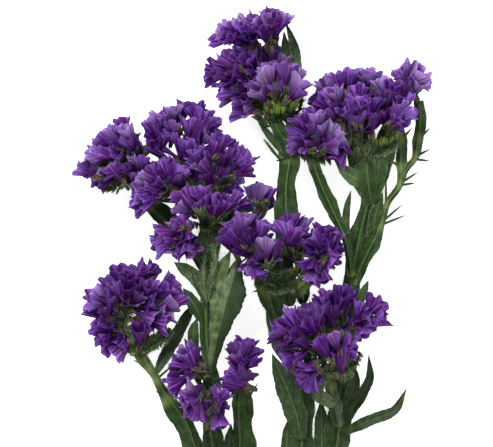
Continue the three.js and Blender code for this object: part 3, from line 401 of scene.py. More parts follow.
TUFT_PLANS = (
    TuftPlan("corymb", blades=(
        LeafPlan(((371, 205, 27), (360, 184, 30), (354, 158, 31), (348, 124, 31)), 3.2, 0.8),
        LeafPlan(((372, 205, 27), (368, 182, 31), (366, 154, 32), (364, 120, 32)), 4, 0.9),
        LeafPlan(((373, 204, 27), (376, 180, 30), (381, 152, 31), (386, 118, 31)), 4.2, 0.9),
        LeafPlan(((374, 203, 27), (381, 180, 28.5), (389, 155, 29), (398, 122, 29)), 2.8, 0.6),
        LeafPlan(((371, 242, 24), (375, 218, 26), (383, 192, 27)), 2.6, 0.6),
    ), beds=(
        BedPlan(((352, 142, 33), (362, 136, 34), (374, 136, 34)), (-0.1, -1, 0.2), 2, 5, 0.6),
        BedPlan(((372, 146, 33), (382, 146, 34), (392, 142, 34), (399, 136, 33)),
            (0.1, -1, 0.5), 1, 5.4, 0.9, pale=True),
        BedPlan(((370, 150, 32), (384, 150, 33), (396, 142, 32)), (0, 1, 0.1), 1, 3.4, 0.4),
        BedPlan(((345, 138, 32), (354, 146, 33), (364, 150, 34), (376, 150, 34)),
            (0.1, -1, 0.3), 2, 5.4, 0.45),
        BedPlan(((352, 166, 32), (362, 160, 33), (372, 166, 33)), (-0.1, -1, 0.25), 1, 7, 0.35),
    )),
    TuftPlan("corymb_left", beds=(
        BedPlan(((296, 150, 33), (308, 154, 34), (320, 157, 34), (330, 158, 34)),
            (0.1, 0.8, 0.4), 2, 4.4, 0.6),
        BedPlan(((298, 147, 34), (312, 149, 35), (326, 152, 35)), (-0.2, -0.9, 0.4), 1, 4.2, 0.6),
    )),
    TuftPlan("crest", blades=(
        LeafPlan(((289, 158, 27), (276, 144, 28), (266, 131, 28), (257, 120, 29)), 1.7, 0.5),
        LeafPlan(((290, 157, 27.5), (283, 139, 30), (273, 120, 31), (262, 100, 31)), 2.8, 0.6),
        LeafPlan(((291, 156, 27.5), (293, 139, 29), (292, 120, 30), (287, 98, 30)), 3.4, 0.7),
        LeafPlan(((280, 160, 27), (273, 151, 29), (263, 138, 29)), 0.7, 0.2),
        LeafPlan(((281, 88, 21), (286, 58, 21), (284, 30, 21)), 2.4, 0.5),
    ), beds=(
        BedPlan(((264, 113, 37), (276, 114, 38), (288, 112, 38), (298, 107, 37)),
            (0.1, -1, 0.4), 1, 7.4, 1.45, pale=True),
        BedPlan(((258, 116, 31), (264, 124, 31), (272, 120, 32), (286, 118, 32)),
            (-0.2, -0.9, 0.4), 2, 4.2, 0.6),
        BedPlan(((294, 116, 31), (299, 106, 31), (297, 96, 31)), (0.8, -0.6, 0.3), 1, 3.6, 0.4),
        BedPlan(((250, 104, 31), (256, 112, 31), (260, 122, 31)), (-0.8, -0.4, 0.3), 1, 3.8, 0.5),
    )),
    TuftPlan("centre", blades=(
        LeafPlan(((272, 314, 25), (264, 297, 31), (256, 279, 33)), 2.4, 0.8),
        LeafPlan(((278, 312, 25), (276, 290, 32), (272, 268, 33)), 3.4, 0.9),
        LeafPlan(((290, 306, 24), (289, 288, 31), (292, 266, 32)), 3.8, 1),
        LeafPlan(((303, 304, 22), (303, 288, 29), (308, 270, 30)), 3.2, 0.9),
    ), beds=(
        BedPlan(((258, 274, 35), (272, 280, 35), (286, 278, 34), (298, 272, 34)), (0, -1, 0.4), 2, 4.6, 0.6),
        BedPlan(((262, 282, 35), (278, 288, 34), (294, 284, 33)), (0, 0.9, 0.5), 1, 4, 0.5),
        BedPlan(((282, 252, 34), (294, 254, 34), (302, 260, 34)), (0, -1, 0.5), 2, 4, 0.6),
    )),
    TuftPlan("upper", blades=(
        LeafPlan(((208, 268, 30), (214, 250, 33), (220, 232, 34)), 2.6, 0.8),
        LeafPlan(((206, 262, 30), (202, 244, 32), (203, 226, 33)), 2.6, 0.8),
        LeafPlan(((212, 304, 29), (219, 276, 32), (231, 250, 33)), 3.2, 0.9, pale=True),
        LeafPlan(((210, 244, 30), (208, 222, 33), (204, 200, 33)), 4, 0.9),
        LeafPlan(((214, 242, 30), (225, 220, 33), (234, 198, 33)), 4, 0.9),
        LeafPlan(((207, 304, 30), (203, 278, 34), (205, 252, 35)), 0.9, 0.2, pale=True),
        LeafPlan(((209, 302, 30), (212, 276, 35), (220, 252, 36)), 0.9, 0.2, pale=True),
        LeafPlan(((208, 306, 30), (197, 288, 34), (191, 270, 35)), 0.8, 0.2),
        LeafPlan(((209, 290, 30), (215, 262, 34), (214, 240, 36)), 0.8, 0.2, pale=True),
    ), beds=(
        BedPlan(((184, 212, 33), (198, 216, 34), (214, 216, 34), (232, 213, 33)), (0, -1, 0.4), 2, 4.6, 0.6),
        BedPlan(((196, 222, 33), (208, 224, 34), (222, 220, 34)), (0, 0.9, 0.4), 1, 3.8, 0.5),
        BedPlan(((238, 206, 30), (250, 208, 30), (262, 208, 29)), (0, -0.9, 0.4), 1, 4, 0.5),
    )),
    TuftPlan("left", blades=(
        LeafPlan(((134, 178, 25), (120, 182, 27), (104, 183, 28)), 2.2, 0.6),
    ), beds=(
        BedPlan(((102, 186, 28), (112, 187, 29), (124, 180, 30), (136, 172, 30)),
            (-0.5, -0.8, 0.5), 2, 5, 0.5),
        BedPlan(((128, 166, 28), (134, 156, 29), (140, 152, 29)), (-0.7, -0.7, 0.3), 1, 4.4, 0.5),
        BedPlan(((108, 188, 28), (118, 188, 28), (130, 180, 29)), (-0.6, 0.7, 0.3), 1, 3.6, 0.45),
    )),
    TuftPlan("lower_left", blades=(
        LeafPlan(((203, 322, 25), (194, 304, 28), (183, 288, 28)), 3, 0.8),
        LeafPlan(((139, 356, 26), (150, 344, 28), (168, 334, 28)), 3.2, 0.5),
        LeafPlan(((196, 354, 23), (193, 336, 25), (197, 318, 25)), 2.6, 0.5),
        LeafPlan(((226, 476, 18), (229, 448, 19), (231, 424, 20)), 2.8, 0.5),
    ), beds=(
        BedPlan(((136, 308, 31), (124, 311, 32), (117, 322, 32), (121, 336, 31)),
            (-0.8, 0.1, 0.5), 3, 3.8, 0.6),
        BedPlan(((126, 312, 31), (124, 324, 32), (130, 336, 31)), (0.8, 0.2, 0.5), 2, 3.4, 0.6),
        BedPlan(((120, 346, 29), (134, 347, 30), (150, 342, 30), (166, 332, 29)),
            (0.1, -1, 0.4), 2, 4.4, 0.6),
        BedPlan(((124, 350, 28), (140, 350, 29), (158, 344, 28), (171, 330, 28)),
            (0.5, 0.5, 0.4), 2, 2.8, 0.6),
    )),
    TuftPlan("lower_right", blades=(
        LeafPlan(((354, 374, 43), (342, 373, 45), (329, 371, 44)), 2.5, -0.7, pale=True),
        LeafPlan(((318, 402, 38), (318, 390, 41), (322, 376, 42)), 2.4, 0.7, pale=True),
        LeafPlan(((320, 394, 38), (312, 372, 41), (306, 350, 42)), 3.6, 0.8),
        LeafPlan(((350, 314, 38), (360, 298, 40), (368, 280, 40)), 2.2, 0.6),
        LeafPlan(((322, 470, 15), (322, 428, 17), (321, 400, 18)), 3.6, 0.8),
        LeafPlan(((286, 474, 16), (287, 444, 18), (289, 418, 19)), 2.8, 0.6),
    ), beds=(
        BedPlan(((330, 366, 44), (342, 366, 45), (354, 360, 44), (358, 350, 43)),
            (0.4, 0.7, 0.4), 1, 4, 0.5),
        BedPlan(((322, 340, 45), (334, 342, 46), (346, 338, 45)), (0, -1, 0.5), 2, 4, 0.6),
    )),
)


# ---------------------------------------------------------------------------------------------------------
# Curves and meshes
# ---------------------------------------------------------------------------------------------------------
class Path:
    """A smooth curve through points: a centripetal Catmull-Rom spline.

    Each span is a cubic whose end slopes follow from the square roots of the distances to the next points.
    """

    SAMPLES = 40  # per span, for lengths

    def __init__(self, points: Array) -> None:
        """Fits the cubics.

        Args:
            points: the points in mm, first to last.
        """
        self.spans = len(points) - 1
        padded = np.vstack([2 * points[0] - points[1], points, 2 * points[-1] - points[-2]])
        gaps = np.sqrt(np.linalg.norm(np.diff(padded, axis=0), axis=1))[:, None]
        before, here, after = gaps[:-2], gaps[1:-1], gaps[2:]
        p0, p1, p2, p3 = padded[:-3], padded[1:-2], padded[2:-1], padded[3:]
        leave = ((p1 - p0) / before - (p2 - p0) / (before + here) + (p2 - p1) / here) * here
        arrive = ((p2 - p1) / here - (p3 - p1) / (here + after) + (p3 - p2) / after) * here
        square, cube = 3 * (p2 - p1) - 2 * leave - arrive, 2 * (p1 - p2) + leave + arrive
        self.cubic = np.stack([p1, leave, square, cube])
        self._steps = np.linspace(0, 1, self.spans * self.SAMPLES + 1)
        runs = np.linalg.norm(np.diff(self.at(self._steps), axis=0), axis=1)
        self._lengths = np.concatenate([[0], np.cumsum(runs)])
        self.length = float(self._lengths[-1])

    def at(self, parameter: Array | float) -> Array:
        """Points at parameters 0 to 1, which give every span the same share."""
        scaled = np.clip(np.atleast_1d(parameter), 0, 1) * self.spans
        span = np.minimum(scaled.astype(int), self.spans - 1)
        t = (scaled - span)[:, None]
        a, b, c, d = (part[span] for part in self.cubic)
        return a + t * (b + t * (c + t * d))

    def parameter(self, share: Array | float) -> Array:
        """Parameters at shares 0 to 1 of the length."""
        return np.interp(np.clip(share, 0, 1) * self.length, self._lengths, self._steps)

    def along(self, share: Array | float) -> Array:
        """Points at shares 0 to 1 of the length."""
        return self.at(self.parameter(share))

    def shares(self, step: float, least: int) -> Array:
        """Even shares 0 to 1, about a step in mm apart, in no fewer stretches than the least."""
        return np.linspace(0, 1, max(least, round(self.length / step)) + 1)

    def frames(self, share: Array) -> tuple[Array, Array, Array, Array]:
        """Points, directions, level sideways directions and the third directions at shares of the length.

        Args:
            share: shares 0 to 1.

        Returns:
            Centres, directions, sides (direction x up) and rises (side x direction).
        """
        reach = 0.002
        heading = unit(self.along(share + reach) - self.along(share - reach))
        side = unit(np.cross(heading, UP))
        return self.along(share), heading, side, np.cross(side, heading)


def stretches(line: Array) -> tuple[Array, Array]:
    """Starts and ends of the stretches between the points of a line."""
    return line[:-1], line[1:]


def unit(vectors: Array) -> Array:
    """Vectors scaled to length one."""
    return vectors / np.maximum(np.linalg.norm(vectors, axis=-1, keepdims=True), 1e-9)


def across_frames(heading: Array) -> tuple[Array, Array]:
    """Two directions square to each heading, so that first x second = heading."""
    first = unit(np.cross(heading, UP + 1e-3))
    return first, np.cross(heading, first)


def ring(first: Array, second: Array, sides: int) -> tuple[Array, Array]:
    """A ring of unit vectors in the plane of two directions.

    Args:
        first: first directions, (..., 3).
        second: second directions, square to the first.
        sides: corners around.

    Returns:
        The vectors, (..., sides, 3), and their places around, 0 to 1.
    """
    turn = math.tau * np.arange(sides) / sides
    around = first[..., None, :] * np.cos(turn)[:, None] + second[..., None, :] * np.sin(turn)[:, None]
    return around, turn / math.tau


def chart_of(around: Array, along: Array) -> Array:
    """The chart of a grid: first coordinates by the point of a ring, second ones by the ring."""
    return np.stack(np.broadcast_arrays(around[None, :], along[:, None]), -1)[None]


def by_half(spread: Array, left: Array, right: Array) -> Array:
    """Values by the ring, the left ones where the place across is below 0 and the right ones elsewhere."""
    return np.where(spread[None] < 0, left[:, None], right[:, None])


def above_surface(grid: Array, skin: float = 0.9) -> Array:
    """Presses what reaches below the surface flat on it: below the skin, z becomes skin e^(z / skin - 1)."""
    pressed = grid.copy()
    z = grid[..., 2]
    pressed[..., 2] = np.where(z < skin, skin * np.exp(np.minimum(z / skin - 1, 0)), z)
    return pressed


def new_object(name: str, data: bpy.types.ID) -> Piece:
    """A new object around its data, linked to the scene."""
    made = bpy.data.objects.new(name, data)
    bpy.context.scene.collection.objects.link(made)
    return made


class ShellMesh:
    """Collects closed surfaces, each a grid of rings with a cap at both ends, into one mesh."""

    def __init__(self, sharp: float = 70.0) -> None:
        """Starts empty.

        Args:
            sharp: edges that turn more than this, in degrees, are shaded sharp.
        """
        self.sharp = math.radians(sharp)
        self.points: list[Array] = []
        self.tones: list[Array] = []
        self.corners: list[Array] = []
        self.sizes: list[Array] = []
        self.charts: list[Array] = []
        self.count = 0

    def add(self, grid: Array, chart: Array, tone: Array | float = 0.5, wraps: bool = True) -> ShellMesh:
        """Adds surfaces; a ring runs right-handed about the direction from ring to ring, so faces point out.

        What reaches below the surface that the spray lies on is pressed flat on it.

        Args:
            grid: points in mm, of the shape (copies, rings, around, 3).
            chart: the two surface coordinates of every point, of the shape (copies, rings, around, 2).
            tone: one number a point, or one for all, that tells a copy's shade.
            wraps: whether the first coordinate goes on from 1 to 0 across the seam.

        Returns:
            The mesh itself.
        """
        copies, rings, around, _ = grid.shape
        ring, side = (part.ravel() for part in np.indices((rings - 1, around)))
        beside = (side + 1) % around
        quads = np.stack([ring * around + side, ring * around + beside,
                          (ring + 1) * around + beside, (ring + 1) * around + side], -1)
        caps = np.stack([np.arange(around)[::-1], (rings - 1) * around + np.arange(around)])
        flat = np.broadcast_to(chart, grid.shape[:3] + (2,)).reshape(copies, -1, 2)
        quad_chart = flat[:, quads]
        if wraps:
            quad_chart[:, side == around - 1, 1:3, 0] += 1.0
        offset = (np.arange(copies) * rings * around + self.count)[:, None, None]
        for faces, uv in ((quads, quad_chart), (caps, flat[:, caps])):
            self.corners.append((faces[None] + offset).ravel())
            self.sizes.append(np.full(copies * len(faces), faces.shape[1]))
            self.charts.append(uv.reshape(-1, 2))
        self.points.append(above_surface(grid).reshape(-1, 3))
        self.tones.append(np.broadcast_to(tone, grid.shape[:3]).ravel())
        self.count += copies * rings * around
        return self

    def build(self, name: str) -> Piece:
        """Makes the mesh object, in metres.

        Args:
            name: name of the piece.

        Returns:
            The object, linked to the scene.
        """
        corners, sizes = np.concatenate(self.corners), np.concatenate(self.sizes)
        mesh = bpy.data.meshes.new(name)
        mesh.vertices.add(self.count)
        mesh.vertices.foreach_set("co", (np.concatenate(self.points) * MM).astype(np.float32).ravel())
        mesh.loops.add(len(corners))
        mesh.loops.foreach_set("vertex_index", corners.astype(np.int32))
        mesh.polygons.add(len(sizes))
        mesh.polygons.foreach_set("loop_start", (np.cumsum(sizes) - sizes).astype(np.int32))
        mesh.polygons.foreach_set("use_smooth", np.ones(len(sizes), bool))
        mesh.update(calc_edges=True)
        mesh.set_sharp_from_angle(angle=self.sharp)
        chart = mesh.uv_layers.new(name="surface")
        chart.data.foreach_set("uv", np.concatenate(self.charts).astype(np.float32).ravel())
        tone = mesh.attributes.new("tone", "FLOAT", "POINT")
        tone.data.foreach_set("value", np.concatenate(self.tones).astype(np.float32))
        mesh.validate()
        return new_object(name, mesh)


def dress(piece: Piece, material: Material, slot: str, *nodes: str) -> None:
    """Gives a piece its finish, lets it ride on the body and stand for its nodes, and logs it.

    Args:
        piece: the finished piece.
        material: its finish.
        slot: the record's material slot; not used.
        nodes: the solids that it replaces.
    """
    piece.data.materials.append(material)
    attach(piece, BODY)
    if nodes:
        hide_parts(*nodes)
    triangles = len(piece.data.loops) - 2 * len(piece.data.polygons)
    LOG.info("%s: %d triangles", piece.name, triangles)


# ---------------------------------------------------------------------------------------------------------
# Finishes
# ---------------------------------------------------------------------------------------------------------
def from_screen(red: int, green: int, blue: int) -> Colour:
    """A colour given as screen values 0 to 255, as linear light: the usual screen curve undone."""
    parts = (value / 255 for value in (red, green, blue))
    return tuple(v / 12.92 if v <= 0.04045 else ((v + 0.055) / 1.055) ** 2.4 for v in parts)


def colours(*screens: tuple[int, int, int]) -> list[Colour]:
    """Several colours given as screen values, as linear light."""
    return [from_screen(*values) for values in screens]


def grey(level: float) -> Colour:
    """A grey of one level of light."""
    return (level, level, level)


class Tree:
    """A material's node tree with short calls for the nodes that the finishes share."""

    def __init__(self, name: str) -> None:
        """Makes an empty material.

        Args:
            name: name of the material.
        """
        self.material = bpy.data.materials.new(name)
        self.material.use_nodes = True
        self.nodes = self.material.node_tree.nodes
        self.nodes.clear()

    def add(self, kind: str, inputs: dict | None = None, **settings: object) -> bpy.types.Node:
        """Adds a node, sets its properties, and sets or links its inputs.

        Args:
            kind: type of the node, without the word ShaderNode.
            inputs: values or output sockets, by the input's name or number.
            settings: properties of the node.

        Returns:
            The node.
        """
        node = self.nodes.new("ShaderNode" + kind)
        for key, value in settings.items():
            setattr(node, key, value)
        for key, value in (inputs or {}).items():
            if isinstance(value, Socket):
                self.material.node_tree.links.new(value, node.inputs[key])
            else:
                node.inputs[key].default_value = value
        return node

    def maths(self, operation: str, first: object, second: object = 0.0) -> Socket:
        """One sum on numbers or sockets."""
        return self.add("Math", {0: first, 1: second}, operation=operation).outputs[0]

    def times(self, first: object, second: object) -> Socket:
        """The product of two numbers or sockets."""
        return self.maths("MULTIPLY", first, second)

    def most(self, first: object, second: object) -> Socket:
        """The greater of two numbers or sockets."""
        return self.maths("MAXIMUM", first, second)

    def vector(self, *parts: object) -> Socket:
        """A vector of up to three numbers or sockets."""
        return self.add("CombineXYZ", dict(enumerate(parts))).outputs[0]

    def surface(self) -> tuple[Socket, Socket]:
        """The two surface coordinates of the piece's own chart."""
        chart = self.add("UVMap", uv_map="surface")
        parts = self.add("SeparateXYZ", {0: chart.outputs[0]})
        return parts.outputs[0], parts.outputs[1]

    def tone(self) -> Socket:
        """The piece's tone attribute."""
        return self.add("Attribute", attribute_name="tone").outputs["Fac"]

    def span(self, value: object, low: float, high: float, start: float, end: float) -> Socket:
        """A straight rise from start at low to end at high, held beyond both."""
        return self.add("MapRange", {0: value, 1: low, 2: high, 3: start, 4: end}).outputs[0]

    def noise(self, vector: Socket, scale: float, detail: float = 3.0) -> Socket:
        """A noise pattern in 0..1 at a scale on a vector."""
        return self.add("TexNoise", {"Vector": vector, "Scale": scale, "Detail": detail}).outputs["Fac"]

    def objectwise(self) -> Socket:
        """Object coordinates."""
        return self.add("TexCoord").outputs["Object"]

    def ramp(self, factor: object, *stops: tuple[float, Colour]) -> Socket:
        """A colour ramp over a number.

        Args:
            factor: the number or socket.
            stops: places 0 to 1 and their colours.

        Returns:
            The colour socket.
        """
        node = self.add("ValToRGB", {"Fac": factor})
        bands = node.color_ramp.elements
        bands[0].position, bands[0].color = stops[0][0], (*stops[0][1], 1)
        bands[1].position, bands[1].color = stops[-1][0], (*stops[-1][1], 1)
        for place, colour in stops[1:-1]:
            band = bands.new(place)
            band.color = (*colour, 1)
        return node.outputs["Color"]

    def blend(self, kind: str, factor: object, first: object, second: object) -> Socket:
        """Mixes two colours.

        Args:
            kind: the blend, such as MIX or MULTIPLY.
            factor: share of the second colour.
            first: first colour or socket.
            second: second colour or socket.

        Returns:
            The colour socket.
        """
        node = self.add("Mix", data_type="RGBA", blend_type=kind)
        for number, value in ((0, factor), (6, first), (7, second)):
            if isinstance(value, Socket):
                self.material.node_tree.links.new(value, node.inputs[number])
            else:
                node.inputs[number].default_value = (*value, 1) if number else value
        return node.outputs[2]

    def mix(self, factor: object, first: object, second: object) -> Socket:
        """The second colour laid over the first by a factor."""
        return self.blend("MIX", factor, first, second)

    def streaked(self, colour: object, streaks: Socket, low: float, high: float) -> Socket:
        """A colour times 0.4 where the streaks are below low and 1.3 above high, laid on by 0.6."""
        return self.blend("MULTIPLY", 0.6, colour, self.ramp(streaks, (low, grey(0.4)), (high, grey(1.3))))

    def bump(self, height: Socket, strength: float, distance: float) -> Socket:
        """A bumped normal from a height in 0..1."""
        node = self.add("Bump", {"Strength": strength, "Distance": distance, "Height": height})
        return node.outputs[0]

    def finish(self, colour: Socket, normal: Socket, rough: float, gloss: float = 0.3,
               thin: float = 0.0) -> Material:
        """Ends the tree in a principled shader, mixed with a translucent one where the piece is thin.

        Args:
            colour: base colour.
            normal: bumped normal.
            rough: roughness.
            gloss: level of the mirror-like part.
            thin: share of the light that passes through, in the surface's own colour.

        Returns:
            The material.
        """
        skin = self.add("BsdfPrincipled", {"Base Color": colour, "Normal": normal, "Roughness": rough,
                                           "Specular IOR Level": gloss})
        shader = skin.outputs[0]
        if thin:
            through = self.add("BsdfTranslucent", {"Color": colour, "Normal": normal})
            shader = self.add("MixShader", {0: thin, 1: shader, 2: through.outputs[0]}).outputs[0]
        self.add("OutputMaterial", {"Surface": shader})
        return self.material


@dataclass(frozen=True)
class PetalFinish:
    """The papery violet limb of a calyx: deeply coloured at the throat, with a rim painted pale as light
    shining through it, fine veins, and bright lines of rib and painted sheen.

    Attributes:
        throat, middle, rim: colours from the tube to the edge; the rim's colour is laid on as painted light
            shining through the edge, and on some calyces picked at random.
        backlit_white: the near-white of the painted light shining through the rims of the brightest calyces.
        flush: what the middle turns to in the warmer calyces.
        shade: colour of the painted shade laid on calyces of low tone, which lie in the inner tiers or the
            darker heads, and on the foot of every limb.
        vein, glint: colours of the dark and the bright fine lines; the bright ones are partly lighter ribs
            and partly painted sheen.
        pale: share of the rim's colour in the palest calyces, which is painted light in those of high tone
            and a random tone in the others.
    """

    throat: Colour = from_screen(122, 18, 92)
    middle: Colour = from_screen(98, 16, 158)
    rim: Colour = from_screen(206, 158, 246)
    backlit_white: Colour = from_screen(240, 216, 255)
    flush: Colour = from_screen(118, 14, 134)
    shade: Colour = from_screen(62, 14, 88)
    vein: Colour = from_screen(54, 10, 78)
    rib_sheen: Colour = from_screen(196, 132, 240)
    pale: float = 0.55

    def material(self, name: str) -> Material:
        """Builds the material: colours along the limb, a warmer or paler shade by calyx, veins, bright lines
        of rib and painted sheen, and painted light and shade.

        The tone's far digits tell a calyx's kin, which is no brighter or duller than another. A bright calyx
        has the palest rim, painted as light shining through it, and a calyx of low tone or the foot of any
        is painted in shade.

        Args:
            name: name of the material.

        Returns:
            The material.
        """
        tree = Tree(name)
        around, along = tree.surface()
        tone = tree.tone()
        kin = tree.maths("FRACT", tree.times(tone, 37.0))
        patch = tree.noise(tree.objectwise(), 60.0, 2.0)
        warm = tree.most(tree.span(kin, 0.5, 1.0, 0.0, 0.8), tree.span(patch, 0.5, 0.62, 0.0, 0.6))
        body = tree.mix(warm, self.middle, self.flush)
        body = tree.mix(tree.span(along, 0.0, 0.22, 1.0, 0.0), body, self.throat)
        stretched = tree.vector(tree.times(around, 34.0), tree.times(along, 0.7), tree.times(tone, 91.0))
        streaks = tree.noise(stretched, 1.0, 5.0)
        # Painted light: a pale band at the rim, in patches by noise and strongest in calyces of high tone,
        # stands for light shining through the thin edge.
        gaps = tree.span(tree.noise(stretched, 0.3, 2.0), 0.42, 0.62, 0.1, 1.0)
        patchy_rim_light = tree.times(tree.span(along, 0.7, 1.0, 0.0, 1.0), gaps)
        painted_rim_light = tree.times(tree.most(patchy_rim_light, tree.span(along, 0.88, 1.0, 0.0, 0.8)),
                         tree.span(tone, 0.3, 0.95, 0.3, 1.0))
        # The palest calyces take the rim's colour along the limb: those of high tone as painted light
        # shining through, and some picked at random by their kin.
        pale = tree.most(tree.span(tone, 0.74, 1.0, 0.0, self.pale),
                         tree.span(kin, 0.3, 0.0, 0.0, self.pale))
        # Colour of the painted light shining through: the rim's colour, near white in the brightest calyces.
        backlit_colour = tree.mix(tree.span(tone, 0.8, 1.0, 0.0, 0.9), self.rim, self.backlit_white)
        body = tree.mix(tree.most(tree.times(pale, along), painted_rim_light), body, backlit_colour)
        veined = tree.mix(tree.span(streaks, 0.52, 0.64, 0.0, 0.55), body, self.vein)
        # Bright fine lines: partly the calyx's lighter ribs, partly painted sheen.
        lined = tree.mix(tree.span(streaks, 0.47, 0.36, 0.0, 0.75), veined, self.rib_sheen)
        # Painted shade: calyces of low tone and the foot of every limb are darkened towards the shade
        # colour.
        painted_shade_share = tree.most(tree.span(tone, 0.0, 0.8, 0.65, 0.0), tree.span(along, 0.2, 0.8, 0.7, 0.0))
        with_painted_shade = tree.mix(painted_shade_share, lined, self.shade)
        return tree.finish(with_painted_shade, tree.bump(streaks, 0.8, 0.0006), rough=0.5, thin=0.55)


@dataclass(frozen=True)
class BladeFinish:
    """A green stem or leaf: lengthwise lines, a paler midrib and edge, side veins and mottling.

    Attributes:
        dark, body, light: the shades of the green.
        midrib: colour of the rib along the middle.
        joint: colour of a stem where it forks, told by the tone.
        rib_width: half width of the rib as a share of the blade.
        veins: side veins in 10 mm, or 0 for lengthwise lines alone.
        painted_half_shade: how much darker the right half is painted: painted shade on a folded leaf.
        rough: roughness of the surface.
    """

    dark: Colour
    body: Colour
    light: Colour
    midrib: Colour
    joint: Colour = from_screen(124, 140, 74)
    rib_width: float = 0.06
    veins: float = 0.0
    painted_half_shade: float = 0.0
    rough: float = 0.5

    def material(self, name: str) -> Material:
        """Builds the material: mottled green, streaks along it, and a rib along its middle.

        Args:
            name: name of the material.

        Returns:
            The material.
        """
        tree = Tree(name)
        across, along = tree.surface()
        mottled = tree.ramp(tree.noise(tree.objectwise(), 380.0, 5.0),
                            (0.26, self.dark), (0.52, self.body), (0.78, self.light))
        streaks = tree.noise(tree.vector(tree.times(across, 26.0), along), 1.0)
        lined = tree.streaked(mottled, streaks, 0.35, 0.65)
        middle = tree.maths("ABSOLUTE", tree.maths("SUBTRACT", across, 0.5))
        rib = tree.span(middle, 0.0, self.rib_width, 0.7, 0.0)
        ribbed = tree.mix(tree.most(rib, tree.span(middle, 0.46, 0.5, 0.0, 0.5)), lined, self.midrib)
        relief = tree.maths("ADD", streaks, rib)
        if self.veins:
            slant = tree.maths("SUBTRACT", tree.times(along, self.veins), tree.times(middle, 5.0))
            wave = tree.maths("SINE", tree.times(slant, math.tau))
            vein = tree.span(wave, 0.82, 1.0, 0.0, 0.22)
            ribbed = tree.mix(vein, ribbed, self.midrib)
            relief = tree.maths("ADD", relief, vein)
        # Painted shade: the right half of the folded leaf is darkened towards the dark green.
        if self.painted_half_shade:
            ribbed = tree.mix(tree.span(across, 0.47, 0.55, 0.0, self.painted_half_shade), ribbed, self.dark)
        jointed = tree.mix(tree.span(tree.tone(), 0.6, 1.0, 0.0, 0.6), ribbed, self.joint)
        return tree.finish(jointed, tree.bump(relief, 0.4, 0.0004), self.rough, thin=0.08)


@dataclass(frozen=True)
class TwigFinish:
    """The green parts of a head: tubes, bracts and axes, from the foot's colour to the tip's."""

    foot: Colour
    middle: Colour
    tip: Colour
    rough: float = 0.6

    def material(self, name: str) -> Material:
        """Builds the material: a ramp along the piece, times lengthwise streaks and the tone.

        Args:
            name: name of the material.

        Returns:
            The material.
        """
        tree = Tree(name)
        around, along = tree.surface()
        tone = tree.tone()
        body = tree.ramp(along, (0.0, self.foot), (0.55, self.middle), (1.0, self.tip))
        streaks = tree.noise(tree.vector(tree.times(around, 14.0), along, tree.times(tone, 57.0)), 1.4)
        lined = tree.streaked(body, streaks, 0.3, 0.7)
        # The tone scales the colour from half to 1.1: at random on bracts and beds, and on stalks by their
        # calyx's tone, which carries its painted light and shade.
        shaded = tree.blend("MULTIPLY", 1.0, lined, tree.ramp(tone, (0.0, grey(0.5)), (1.0, grey(1.1))))
        return tree.finish(shaded, tree.bump(streaks, 0.4, 0.0003), self.rough, gloss=0.25, thin=0.1)


class Slot(Enum):
    """The record's material slots."""

    CALYX = "calyx"
    STEM = "stem"
    LEAF = "leaf"
    LEAF_PALE = "leaf_pale"


class Finishes:
    """Every finish of the spray, built once."""

    def __init__(self) -> None:
        """Builds the materials."""
        self.petal = PetalFinish().material("violet_paper")
        stem = colours((26, 48, 18), (40, 66, 25), (58, 86, 36), (92, 116, 60))
        leaf = colours((26, 44, 20), (44, 66, 32), (72, 94, 50), (98, 116, 72))
        pale = colours((48, 72, 32), (80, 104, 56), (112, 132, 84), (130, 146, 100))
        folded = colours((32, 52, 28), (84, 104, 62), (122, 138, 98), (96, 116, 72))
        self.stem = BladeFinish(*stem).material("stem_green")
        self.leaf = BladeFinish(*leaf, rib_width=0.04, veins=2.2).material("leaf_green")
        self.leaf_pale = BladeFinish(*pale, rib_width=0.04, veins=2.2).material("leaf_pale_green")
        # The folded leaf's finish has painted shade on its right half.
        self.leaf_half_shaded = BladeFinish(*folded, rib_width=0.03, painted_half_shade=0.85).material("leaf_half_shaded_green")
        tube = colours((84, 100, 46), (92, 70, 56), (100, 30, 84))
        bract = colours((36, 54, 22), (62, 84, 36), (124, 136, 92))
        comb = colours((70, 96, 34), (120, 142, 58), (150, 162, 92))
        axis = colours((60, 86, 36), (64, 90, 40), (72, 98, 44))
        hair = colours((170, 184, 150), (206, 214, 196), (232, 236, 228))
        self.tube = TwigFinish(*tube).material("calyx_tube")
        self.bract = TwigFinish(*bract).material("bract_green")
        self.comb = TwigFinish(*comb).material("comb_green")
        self.axis = TwigFinish(*axis).material("axis_green")
        self.hair = TwigFinish(*hair, rough=0.5).material("white_hair")


# ---------------------------------------------------------------------------------------------------------
# Stems and leaves
# ---------------------------------------------------------------------------------------------------------
def blade_rings(frames: tuple[Array, ...], across: Array, lift: Array, half: Array) -> Array:
    """Rings of a flat closed blade: over its upper face from left to right, and back under it.

    A ring's point is centre + side * across + rise * (lift + or - half thickness).

    Args:
        frames: centres, directions, sides and rises along the blade.
        across: place across of each point of the face, (rings, points), in mm.
        lift: height of the middle surface there, in mm.
        half: half the thickness there, in mm.

    Returns:
        A grid of the shape (1, rings, 2 * points, 3).
    """
    centre, _, side, rise = (part[:, None, :] for part in frames)
    upper = centre + side * across[..., None] + rise * (lift + half)[..., None]
    lower = centre + side * across[..., None] + rise * (lift - half)[..., None]
    return np.concatenate([upper, lower[:, ::-1]], 1)[None]


def blade_chart(runs: Array, across: Array) -> Array:
    """Chart of a blade: 0 to 1 across on both faces, and tens of millimetres along it."""
    return chart_of(np.concatenate([across, across[::-1]]), runs / 10)


